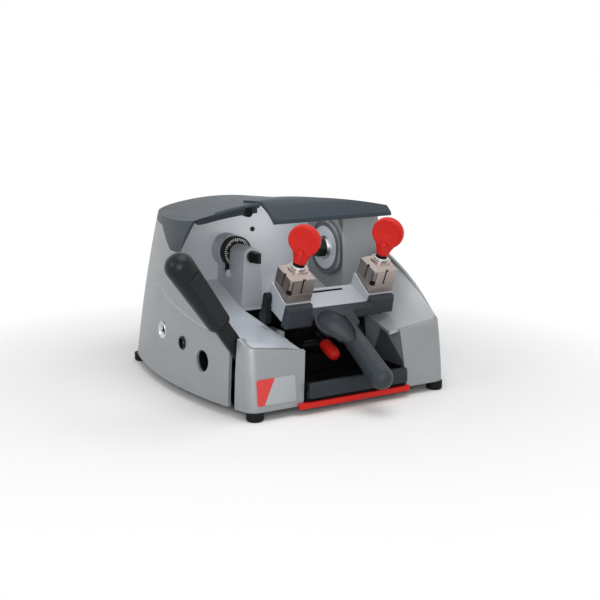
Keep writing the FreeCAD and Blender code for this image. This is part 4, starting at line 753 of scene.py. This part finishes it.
# Lock knob: a drop that is thickest near its front, on a neck in near-black as painted shade
DROP_PROFILE = (
    (0, 0, 1), (4.4, 0, 1), (4.4, 14, 1), (6.6, 14.2), (8.0, 16), (8.8, 22), (9.1, 34), (8.7, 40),
    (7.3, 44.6), (5.2, 46.8), (2.6, 48), (0, 48.3),
)
LOCK_X = 8
LOCK_Z = 36
lock_rear = max((CARRIAGE.inverted() @ vertex.co).y for vertex in nodes["lock_knob"].data.vertices)
lock_frame = CARRIAGE @ shift(LOCK_X, lock_rear, LOCK_Z) @ turn(90, "X")
piece(
    "lock_drop", revolved(bmesh.new(), DROP_PROFILE, lock_frame, sides=40),
    "lock", MATERIALS["red"], SHADOW, slot="red", replaces=("lock_knob",),
)

# Black strip in the slot of the carriage's plate, midway between the clamps: painted shade in the slot
STRIP_HALF = 24.96
STRIP_SECTION = ((-16.96, 93), (-12.04, 93), (-12.04, 99.2), (-16.96, 99.2))
strip_x = sum(STATIONS.values()) / 2
strip_ends = (strip_x - STRIP_HALF, strip_x + STRIP_HALF)
piece("slot_shade_strip", lofted(bmesh.new(), [
    [CARRIAGE @ Vector((x, y, z)) for y, z in STRIP_SECTION] for x in strip_ends
]), "carriage", SHADOW)

# Foot of the shoulder gauge
GAUGE = CARRIAGE @ shift(-75.65, -12, 99) @ turn(-11, "X")
GAUGE_HALF = 4.2
FOOT_SECTION = (
    (-6.2, -12), (6.2, -12), (6.2, -22), (9.4, -24), (9.4, -35), (-8.4, -35), (-8.4, -24), (-6.2, -22),
)
piece("gauge_foot", lofted(bmesh.new(), [
    [GAUGE @ Vector((x, y, z)) for y, z in FOOT_SECTION] for x in (-GAUGE_HALF, GAUGE_HALF)
]), "gauge", MATERIALS[slot_of["shoulder_gauge"]])

# Clamps: knobs with a rib on their front, collars under them, corner posts in a darker nickel as painted
# shade, and dark grooves of the jaws as painted shade
KNOB_TURN = -48.0
KNOB_VOXEL = 0.65
KNOB_ROUNDS = 2
KNOB_CENTRE = 32.4
KNOB_DISC = (
    (0, -4.4), (16.5, -4.8), (19.2, -5.5), (20.9, -4.3), (21.3, -2.0), (21.3, 2.0), (20.9, 4.3), (19.2, 5.5),
    (17.8, 4.8), (0, 3.4),
)
KNOB_NECK = ((0, 9.0, 7.8), (4, 9.3, 7.4), (10, 11.2, 6.2), (18, 15.4, 5.0), (27, 17.5, 4.4))
RIB_Y = -5.8
RIB_LOW = 5.6
RIB_HIGH = 16.4
RIB_RADIUS = 5.1
RIB_DEPTH = 5.6
COLLAR_PROFILE = (
    (5.1, BOSS_TOP), (8.9, BOSS_TOP), (9.5, BOSS_TOP + 0.6), (9.5, BOSS_TOP + 3.0), (8.6, BOSS_TOP + 4.0),
    (7.4, BOSS_TOP + 4.0), (7.9, BOSS_TOP + 4.6, 1), (7.9, BOSS_TOP + 7.4, 1), (7.4, KNOB_BASE, 1),
    (5.1, KNOB_BASE, 1), (5.1, BOSS_TOP, 1),
)
POST_LOW = SPLIT_Z + 7.6
POST_HIGH = EDGE_Z - 1.2
POST_PROFILE = ((0, POST_LOW), (2.9, POST_LOW), (2.9, POST_HIGH - 0.8), (2.1, POST_HIGH), (0, POST_HIGH))
JAW_FACE = -CLAMP_HALF
POST_INSET = JAW_FACE + 2.0
BESIDE_POST = (JAW_FACE + 3.9, JAW_FACE + 4.9)
BESIDE_LOW = POST_LOW - 1.0
JAW_SKIN = (JAW_FACE - 0.05, JAW_FACE + 1.0)
GROOVE = ((-1.1, JAW_FACE - 0.06, SPLIT_Z + 1.6), (1.1, JAW_FACE + 1.5, EDGE_Z - 1.2))
BEND = shift(0.9, 0, EDGE_Z - 1.6) @ turn(40, "Y")
BENT_END = ((-1.0, JAW_FACE - 0.05, -1.2), (1.0, JAW_FACE + 1.4, 3.2))
STAR = shift(JAW_FACE + 0.6, JAW_FACE + 0.6, SPLIT_Z + 3.4) @ turn(-45, "Z") @ turn(90, "X")
STAR_POINTS = 6
STAR_INNER = (2.6, 2.4)
STAR_OUTER = (4.8, 4.4)
STAR_ENDS = (-2.0, 0.6)


def knob_parts(form, matrix):
    """A disc with sunk faces, the neck that widens into it, and the rib on its front."""
    revolved(form, KNOB_DISC, matrix @ shift(0, 0, KNOB_CENTRE) @ turn(90, "X"))
    oval(form, matrix, KNOB_NECK)
    capsule(form, matrix @ shift(0, RIB_Y, 0), RIB_LOW, RIB_HIGH, RIB_RADIUS, RIB_DEPTH)


def jaw_groove_shades(matrix):
    """Painted shade of a jaw: dark boxes in a groove in each face, one on each side of the post, and a star
    at its foot.
    """
    form = bmesh.new()
    for quarter in range(4):
        side_frame = matrix @ turn(90 * quarter, "Z")
        boxed(form, side_frame, *GROOVE)
        boxed(form, side_frame @ BEND, *BENT_END)
    for across, through in ((BESIDE_POST, JAW_SKIN), (JAW_SKIN, BESIDE_POST)):
        boxed(form, matrix, (across[0], through[0], BESIDE_LOW), (across[1], through[1], POST_HIGH))
    return lofted(form, [
        [matrix @ STAR @ spot for spot in toothed_ring(2 * STAR_POINTS, STAR_INNER, STAR_OUTER, height)]
        for height in STAR_ENDS
    ])


def clamp(side, x):
    """The pieces of one clamp."""
    knob_frame = CARRIAGE @ shift(x, CLAMP_Y, KNOB_BASE) @ turn(KNOB_TURN, "Z")
    jaw_frame = CARRIAGE @ shift(x, CLAMP_Y, 0)
    post_frame = jaw_frame @ shift(POST_INSET, POST_INSET, 0)
    piece(
        f"{side}_knob_moulding",
        moulded(lambda form: knob_parts(form, knob_frame), KNOB_VOXEL, KNOB_ROUNDS),
        f"{side}_knob", MATERIALS["red"], slot="red", replaces=(f"{side}_clamp_knob",),
    )
    piece(
        f"{side}_collar", revolved(bmesh.new(), COLLAR_PROFILE, jaw_frame),
        f"{side}_jaw", MATERIALS["chrome"], MATERIALS["black"],
        slot="chrome", replaces=(f"{side}_clamp_washer",),
    )
    # Post in the darker nickel: painted shade in the corner's recess
    piece(
        f"{side}_jaw_post", revolved(bmesh.new(), POST_PROFILE, post_frame, sides=32),
        f"{side}_jaw", MATERIALS["shaded_nickel"], slot="nickel",
    )
    piece(f"{side}_jaw_groove_shades", jaw_groove_shades(jaw_frame), f"{side}_jaw", SHADOW, slot="black")


for side, x in STATIONS.items():
    clamp(side, x)

# Lever grip: a tapering bar with round ends and a long flat on each side
GRIP_START = 110.0
GRIP_END = 224.0
GRIP_LOW = 15.0
GRIP_TOP = 19.0
GRIP_TWIST = 22.0
GRIP_STEPS = 96
GRIP_SIDES = 72
LOW_ROUND = GRIP_START + GRIP_LOW * 0.55
LOW_FACE = 0.62
TOP_ROUND = GRIP_END - GRIP_TOP * 0.95
TOP_SQUARED = 0.0004
FLAT_END = GRIP_END - 26.0
FLAT_EASE = 12.0
FLAT_SHARE = 0.74


def grip_radius(height):
    """The grip's radius at one height, with its round ends."""
    share = (height - GRIP_START) / (GRIP_END - GRIP_START)
    plain = GRIP_LOW + (GRIP_TOP - GRIP_LOW) * share
    if height < LOW_ROUND:
        sunk = (LOW_ROUND - height) / (LOW_ROUND - GRIP_START)
        return plain * (LOW_FACE + (1 - LOW_FACE) * math.sqrt(max(0.0, 1 - sunk * sunk)))
    if height > TOP_ROUND:
        sunk = (height - TOP_ROUND) / (GRIP_END - TOP_ROUND)
        return plain * math.sqrt(max(TOP_SQUARED, 1 - sunk * sunk))
    return plain


def eased(value):
    """A value from 0 to 1 with soft ends."""
    value = min(1.0, max(0.0, value))
    return value * value * (3 - 2 * value)


def grip_ring(height):
    """Points round the grip at one height."""
    radius = grip_radius(height)
    limit = radius * (1 - (1 - FLAT_SHARE) * eased((FLAT_END - height) / FLAT_EASE))
    ring = oval_ring(GRIP_SIDES, radius, radius, height)
    for spot in ring:
        spot.y = max(-limit, min(limit, spot.y))
    return [LEVER @ turn(GRIP_TWIST, "Z") @ spot for spot in ring]


piece("lever_moulding", lofted(bmesh.new(), [
    grip_ring(GRIP_START + (GRIP_END - GRIP_START) * (1 - math.cos(math.pi * step / GRIP_STEPS)) / 2)
    for step in range(GRIP_STEPS + 1)
]), "lever", MATERIALS["grip"], slot="black", replaces=("lever_grip",))

# Cutter wheel with a fine-toothed rim and a sunk ring on its faces
CUTTER = ORIGIN @ shift(82.0, 12, HEAD_Z) @ turn(90, "Y")
CUTTER_TEETH = 120
TOOTH_FROM = 38.0
TOOTH_DEPTH = 1.1
CUTTER_PROFILE = (
    (7.52, -2.5, 0), (31.0, -2.5, 0), (31.6, -2.1, 1), (35.4, -2.1, 1), (36.0, -2.5, 1), (38.4, -2.5, 1),
    (40.0, -1.6, 1), (40.0, 1.6, 1), (38.4, 2.5, 1), (36.0, 2.5, 1), (35.4, 2.1, 1), (31.6, 2.1, 1),
    (31.0, 2.5, 1), (7.52, 2.5, 0), (7.52, -2.5, 0),
)
cutter = bmesh.new()
cutter_rows = []
for radius, height, _ in CUTTER_PROFILE:
    root = radius - TOOTH_DEPTH if radius > TOOTH_FROM else radius
    ring = toothed_ring(2 * CUTTER_TEETH, (radius, radius), (root, root), height)
    cutter_rows.append([cutter.verts.new(CUTTER @ spot) for spot in ring])
skinned(cutter, cutter_rows, [paint for _, _, paint in CUTTER_PROFILE[1:]])
bmesh.ops.remove_doubles(cutter, verts=cutter.verts, dist=SAME_SPOT)
piece(
    "cutter_wheel", cutter, "spindle", MATERIALS["cutter_disc"], MATERIALS["cutter_rim"],
    slot="chrome", replaces=("cutter",),
)

# White graduations on the tracer's dial, with every fifth longer
DIAL = ORIGIN @ shift(-50, 36.0, HEAD_Z)
DIAL_MARKS = 40
MARK_HALF = 0.45
MARK_PROUD = 0.12
MARK_SUNK = 0.1
MARK_OUTER = 20.1
LONG_MARK = 5.4
SHORT_MARK = 3.4
marks = bmesh.new()
for number in range(DIAL_MARKS):
    mark_frame = DIAL @ turn(360 * number / DIAL_MARKS, "Y")
    length = SHORT_MARK if number % 5 else LONG_MARK
    outer_end = (MARK_HALF, MARK_SUNK, MARK_OUTER)
    boxed(marks, mark_frame, (-MARK_HALF, -MARK_PROUD, MARK_OUTER - length), outer_end)
piece("dial_marks", marks, "dial", MATERIALS["white_mark"])

# Dark index tab under the edge of the dial
TAB_X = -67
TAB_Z = 154
TAB_OUTLINE = ((-3.2, -5.0), (3.0, -5.0), (3.0, 6.0), (-2.4, 6.0))
TAB_LAYERS = ((33.4, 0.9), (33.8, 1.0), (35.8, 1.0))
piece("dial_tab", lofted(bmesh.new(), [
    [ORIGIN @ Vector((TAB_X + x * share, y, TAB_Z + z * share)) for x, z in TAB_OUTLINE]
    for y, share in TAB_LAYERS
]), "base", SHADOW, outward=True)

# Soft crease along the left wall: a thin bead paler than the casing, a painted highlight along the fold
CREASE = (
    (76, 135.5), (51, 129), (30, 123.5), (3, 118), (-22.6, 113.6), (-47.7, 109), (-72, 105.3), (-110, 102.4),
)
CREASE_RADIUS = 1.0
CREASE_SINK = Vector((0.2, 0, 0))
left_wall = surface(nodes["left_casing"].data)
crease_spots = [left_wall.ray_cast(Vector((FAR_LEFT, y, z)), RIGHT)[0] + CREASE_SINK for y, z in CREASE]
tube(
    "wall_bead", crease_spots, CREASE_RADIUS, MATERIALS["painted_crease_highlight"],
    resolution=3, capped=False,
)


# Fittings of the left wall: a dished cap with a cross slot in painted shade, a dark socket with painted shade
# in its bore and the sleeve of the access hole
def sideways(x, y, z):
    """A frame at a place on the left wall whose Z axis points out of it."""
    return ORIGIN @ shift(x, y, z) @ turn(-90, "Y")


CAP = sideways(-168, 37, 76.5)
CAP_PROFILE = (
    (0, -2.6), (5, -2.4), (8.6, -1.3), (9.8, 0.1), (11.2, 0.4), (11.9, -0.2), (11.9, -12), (0, -12),
)
CROSS_TURN = 20
CROSS_BAR = ((-6.4, -1.0, -3.2), (6.4, 1.0, -2.0))
piece(
    "cap_dish", revolved(bmesh.new(), CAP_PROFILE, CAP), "base", MATERIALS["chrome"],
    slot="chrome", replaces=("side_cap",),
)
cross = bmesh.new()
for quarter in range(2):
    boxed(cross, CAP @ turn(CROSS_TURN + 90 * quarter, "Z"), *CROSS_BAR)
piece("cap_slot_shade", cross, "base", SHADOW)

SOCKET = sideways(-171, -31, 73)
SOCKET_PROFILE = (
    (0, -3.0, 2), (2.8, -3.4, 2), (2.8, -7.5, 1), (6.6, -7.5, 1), (6.9, -0.2, 1), (7.4, 0.2), (8.6, 0.2),
    (8.95, -0.4), (8.95, -11), (0, -11),
)
piece(
    "bush_socket", revolved(bmesh.new(), SOCKET_PROFILE, SOCKET, sides=48),
    "base", MATERIALS["black_steel"], SHADOW, MATERIALS["steel"], slot="steel", replaces=("side_bush",),
)

ACCESS_Y = -84
ACCESS_Z = 60
ABOVE_ACCESS = 76
SLEEVE_PROFILE = ((13.98, -1.0), (13.98, -12), (12.6, -12), (12.6, -1.6), (13.3, -1.0), (13.98, -1.0))
access_x = left_wall.ray_cast(Vector((FAR_LEFT, ACCESS_Y, ABOVE_ACCESS)), RIGHT)[0].x
access_frame = sideways(access_x, ACCESS_Y, ACCESS_Z)
piece(
    "access_sleeve", revolved(bmesh.new(), SLEEVE_PROFILE, access_frame, sides=56),
    "base", MATERIALS["black"],
)

# Rounded rims that close the decks against the walls and the front
RIM_WIDTH = 11.0
RIM_CURVE = ((0.3, 2.7), (1.6, 4.3), (3.6, 4.9))
RIM_SLOPE = (7.0, 4.4)
RIM_SHARE = 0.55
RIM_SKIN = 0.1
RIM_SEAT = 0.2
RIM_SUNK = 1.5
RIM_ROOT = 3.0
RIM_CORNER = (12, 28, 45, 62, 78)
EDGE_LEVEL = 74
EDGE_REACH = 200
EDGE_INSET = 2.2
EDGE_DROPS = (6.0, 4.0)


def rim(name, meshes, stations):
    """A rim over the edge where two meshes meet, through stations of a place and the way inward."""
    tree = surface(*meshes)
    rings = []
    for place, inward in stations:
        outside = place - inward * EDGE_REACH
        outer = tree.ray_cast(Vector((*outside.xy, EDGE_LEVEL)), inward)[0]
        for drop in EDGE_DROPS:
            top = over(tree, *(outer + inward * EDGE_INSET).xy)
            outer = tree.ray_cast(Vector((*outside.xy, top.z - drop)), inward)[0]
        inner = outer + inward * RIM_WIDTH
        deck = over(tree, *inner.xy) or Vector((*inner.xy, top.z))
        slope_reach, slope_height = RIM_SLOPE
        points = [outer - inward * RIM_SKIN]
        points += [outer + inward * reach + UP * height for reach, height in RIM_CURVE]
        points.append(outer + inward * slope_reach + UP * (slope_height + (deck.z - top.z) * RIM_SHARE))
        points += [deck + UP * RIM_SEAT, deck + DOWN * RIM_SUNK, outer + inward * RIM_ROOT + DOWN]
        rings.append([ORIGIN @ point for point in points])
    piece(name, lofted(bmesh.new(), rings), "base", MATERIALS["casing"], slot="casing", outward=True)


def round_corner(x, y, side):
    """Stations round a front corner, from the side to the front."""
    for angle in map(math.radians, RIM_CORNER):
        yield Vector((x, y, 0)), Vector((-side * math.cos(angle), math.sin(angle), 0))


def along(start, step, count, inward):
    """Stations along a straight edge."""
    for number in range(count):
        yield Vector(start) + Vector(step) * number, inward


rim("right_rim", [nodes["right_casing"].data, nodes["right_deck"].data], [
    *along(start=(90, -28, 0), step=(0, -8, 0), count=16, inward=-RIGHT),
    *round_corner(122, -148, side=1),
    *along(start=(124, -150, 0), step=(-5, 0, 0), count=7, inward=REARWARD),
])
rim("left_rim", [cheek_form.data, deck_form.data], [
    *round_corner(-128, -150, side=-1),
    *along(start=(-126, -150, 0), step=(6, 0, 0), count=10, inward=REARWARD),
])

# Rounded bar along the front of the tray, with smaller ends
BAR_SECTION = (
    (-1.6, -19.0), (-2.0, -12.0), (-1.6, -3.4), (-0.6, -1.0), (1.6, 0.2), (4.4, 0.2), (6.2, -0.8),
    (6.2, -19.6), (0.4, -19.6),
)
BAR_MIDDLE = -9.7
BAR_ENDS = ((0.6, 0.8), (1.6, 0.95), (3.2, 1.0))
tray_low, tray_high = box_of("chip_tray")
bar_stations = [(tray_low.x + inset, share) for inset, share in BAR_ENDS]
bar_stations += [(tray_high.x - inset, share) for inset, share in reversed(BAR_ENDS)]
bar_z = tray_high.z + BAR_MIDDLE


def bar_ring(x, share):
    """Points round the bar at one place, drawn in by a share."""
    return [
        ORIGIN @ Vector((x, tray_low.y + y * share, bar_z + (z - BAR_MIDDLE) * share)) for y, z in BAR_SECTION
    ]


piece("tray_roll", lofted(bmesh.new(), [
    bar_ring(x, share) for x, share in bar_stations
]), "tray", MATERIALS["dark"], outward=True)

# Dark frame under the front edge of the cover, deeper to the right, partly the cover's own dark frame and
# partly painted shade under its edge, and the catch at its end
FRAME_START = -141.0
FRAME_STEP = 5.0
FRAME_STEPS = 19
FRAME_Y = -21
FRAME_UNDER = 192
FRAME_FRONT = -24.4
FRAME_REAR = -14
FRAME_LAP = 0.6
FRAME_DEPTH = 5.0
FRAME_GAIN = 4.0
REAR_SHARE = 0.6
cover = surface(nodes["top_cover"].data)
frame_rings = []
for step in range(FRAME_STEPS + 1):
    x = FRAME_START + FRAME_STEP * step
    under = cover.ray_cast(Vector((x, FRAME_Y, FRAME_UNDER)), UP)[0]
    if under:
        depth = FRAME_DEPTH + FRAME_GAIN * step / FRAME_STEPS
        section = (
            (FRAME_FRONT, -depth), (FRAME_FRONT, FRAME_LAP),
            (FRAME_REAR, FRAME_LAP), (FRAME_REAR, -depth * REAR_SHARE),
        )
        frame_rings.append([ORIGIN @ Vector((x, y, under.z + z)) for y, z in section])
piece("cover_frame_and_shade", lofted(bmesh.new(), frame_rings), "base", MATERIALS["dark"], outward=True)

HOOK_OUTLINE = ((0, 0), (12, 0), (12, -10), (9, -13), (4, -13), (0, -8))
HOOK_CHAMFER = 1
HOOK_END = 0.94
catch_low, catch_high = box_of("cover_catch")
hook_layers = (
    (catch_low.y, HOOK_END), (catch_low.y + HOOK_CHAMFER, 1.0),
    (catch_high.y - HOOK_CHAMFER, 1.0), (catch_high.y, HOOK_END),
)
piece("catch_hook", lofted(bmesh.new(), [
    [ORIGIN @ Vector((catch_low.x + x * share, y, catch_high.z + z)) for x, z in HOOK_OUTLINE]
    for y, share in hook_layers
]), "base", MATERIALS["black"], slot=slot_of["cover_catch"], replaces=("cover_catch",), outward=True)

# Rounded lips along the front and the left end of the hood and along the front of the cover
LIP_INSET = (3.2, 2.6)
LIP_RIGHT = 137
LIP_STEPS = 16
END_STEP = 3.2
END_STEPS = 11
EDGE_LEFT = -112.0
EDGE_STEP = 5.0
EDGE_STEPS = 13
hood = surface(nodes["cutter_hood"].data)
hood_low = box_of("cutter_hood")[0]
lip_x = hood_low.x + LIP_INSET[0]
lip_y = hood_low.y + LIP_INSET[1]
lip_step = (LIP_RIGHT - lip_x) / LIP_STEPS
lip_spots = [over(hood, lip_x + lip_step * step, lip_y) for step in range(LIP_STEPS + 1)]
end_spots = [over(hood, lip_x, lip_y + END_STEP * step) for step in range(END_STEPS + 1)]
edge_spots = [over(cover, EDGE_LEFT + EDGE_STEP * step, FRAME_Y) for step in range(EDGE_STEPS + 1)]
for name, spots, radius, sink in (
    ("hood_lip", lip_spots, 2.6, 2.2), ("hood_end", end_spots, 3.4, 1.8), ("cover_edge", edge_spots, 3.6, 2.2)
):
    tube(name, [spot + DOWN * sink for spot in spots if spot], radius, MATERIALS["slate"])

# Blank badge plate in two tones on the cheek, lying on its sloping front
PLATE_CENTRE = Vector((-113.0, 36.5))
PLATE_HALF = (27.5, 16.5)
PLATE_CORNER = 3.0
PLATE_STEPS = 6
PLATE_LAYERS = ((-0.3, 1.0), (0.55, 1.0), (0.7, 0.985))
PLATE_RED = (0.58, 0.035, 0.03)
PLATE_GREY = (0.36, 0.375, 0.385)
PLATE_SHEEN = (0.28, 0.38)
TONE_NOISE = 80.0
TONE_OFFSET = 10
TONE_SLANT = 0.5
TONE_BLUR = 0.0002  # metres
cheek = surface(cheek_form.data)


def on_cheek(place, rise):
    """The point at a height over the cheek's front at one place, seen from the front."""
    spot, normal = cheek.ray_cast(Vector((place.x, FAR_FRONT, place.y)), REARWARD)[:2]
    return ORIGIN @ (spot + normal * rise)


plate_outline = []
for corner_x, corner_z, first in ((1, 1, 0), (-1, 1, 90), (-1, -1, 180), (1, -1, 270)):
    for step in range(PLATE_STEPS + 1):
        angle = math.radians(first + 90 * step / PLATE_STEPS)
        plate_outline.append(Vector((
            corner_x * (PLATE_HALF[0] - PLATE_CORNER) + PLATE_CORNER * math.cos(angle),
            corner_z * (PLATE_HALF[1] - PLATE_CORNER) + PLATE_CORNER * math.sin(angle),
        )))
plate = lofted(bmesh.new(), [
    [on_cheek(PLATE_CENTRE + offset * share, rise) for offset in plate_outline]
    for rise, share in PLATE_LAYERS
])
badge = Coat("badge")
badge_parts = badge.add("ShaderNodeSeparateXYZ")
badge.feed(badge_parts.inputs[0], badge.place)
badge_slant = badge.maths("MULTIPLY_ADD", badge_parts.outputs["Z"], -TONE_SLANT, badge_parts.outputs["X"])
badge_split = FEET.x + (PLATE_CENTRE.x - TONE_OFFSET - TONE_SLANT * PLATE_CENTRE.y) * MM
badge_share = badge.span(badge_slant, 0.0, 1.0, (badge_split, badge_split + TONE_BLUR))
badge.set(
    Base_Color=badge.mix(badge_share, PLATE_RED, PLATE_GREY),
    Roughness=badge.span(badge.noise(TONE_NOISE), *PLATE_SHEEN),
)
piece("badge_plate", plate, "base", badge.owner)

# Pale floor that shows the machine's shadow and glows white further off, in metres
GROUND = 8.0
GLOW_LIMITS = (0.3, 0.6)
FLOOR_TONES = ((0.9, 0.9, 0.9), (0.92, 0.92, 0.92))
FLOOR_NOISE = 3.0
FLOOR_ROUGHNESS = 0.9
ground_form = bpy.data.meshes.new("ground")
ground_form.from_pydata([
    (-GROUND, -GROUND, 0), (GROUND, -GROUND, 0), (GROUND, GROUND, 0), (-GROUND, GROUND, 0)
], [], [(0, 1, 2, 3)])
ground = placed("ground", ground_form)
floor = Coat("floor")
floor.set(Roughness=FLOOR_ROUGHNESS, Base_Color=floor.ramp(floor.noise(FLOOR_NOISE), *FLOOR_TONES))
distance = floor.add("ShaderNodeVectorMath", operation="LENGTH")
floor.feed(distance.inputs[0], floor.place)
far_off = floor.span(distance.outputs["Value"], 0.0, 1.0, GLOW_LIMITS)
blend = floor.add("ShaderNodeMixShader")
floor.feed(blend.inputs[0], floor.maths("MULTIPLY", far_off, floor.seen()))
floor.feed(blend.inputs[1], floor.shader.outputs[0])
floor.feed(blend.inputs[2], floor.add("ShaderNodeEmission").outputs[0])
floor.feed(floor.nodes["Material Output"].inputs["Surface"], blend.outputs[0])
ground_form.materials.append(floor.owner)

# Soft square lamps: name, place, target and size in metres, and watts
LAMPS = (
    ("above", (0.1, -0.3, 1.5), (0, 0, 0.1), 1.2, 11),
    ("front", (-0.8, -1.35, 0.5), (0.02, 0.05, 0.14), 0.8, 9),
    ("left", (-1.5, -0.1, 0.8), (0, 0, 0.12), 0.8, 4),
    ("hood", (0.07, 0.02, 0.222), (0.07, 0.13, 0.13), 0.1, 0.055),
)
for name, place, target, size, watts in LAMPS:
    light = bpy.data.lights.new(name, "AREA")
    light.shape = "SQUARE"
    light.size = size
    light.energy = watts
    lamp = placed(name, light)
    lamp.location = place
    lamp.rotation_euler = (Vector(target) - Vector(place)).to_track_quat("-Z", "Y").to_euler()
    lamp.visible_camera = False

# White world, dimmer as a light than as it is seen
WORLD_LIGHT = 0.4
WORLD_SEEN = 1.0
world = bpy.data.worlds.new("studio")
scene.world = world
sky = Tree(world)
background = sky.nodes["Background"]
background.inputs["Color"].default_value = (1, 1, 1, 1)
sky.feed(background.inputs["Strength"], sky.span(sky.seen(), WORLD_LIGHT, WORLD_SEEN, (0.0, 1.0)))

# Camera, placed from the photograph's four feet and upright edges
CAMERA_PLACE = Vector((-789.08, -1354.66, 432.0))
AZIMUTH = math.radians(31.2)
DROP_ANGLE = math.radians(11.7)
LENS = 67.8
SENSOR = 36.0
CLIP_END = 50.0
view = bpy.data.cameras.new("camera")
view.sensor_width = SENSOR
view.lens = LENS
view.clip_end = CLIP_END
camera = placed("camera", view)
camera.location = ORIGIN @ CAMERA_PLACE
ahead = Vector((
    math.sin(AZIMUTH) * math.cos(DROP_ANGLE),
    math.cos(AZIMUTH) * math.cos(DROP_ANGLE),
    -math.sin(DROP_ANGLE),
))
camera.rotation_euler = ahead.to_track_quat("-Z", "Y").to_euler()
scene.camera = camera
scene.view_settings.view_transform = "Standard"
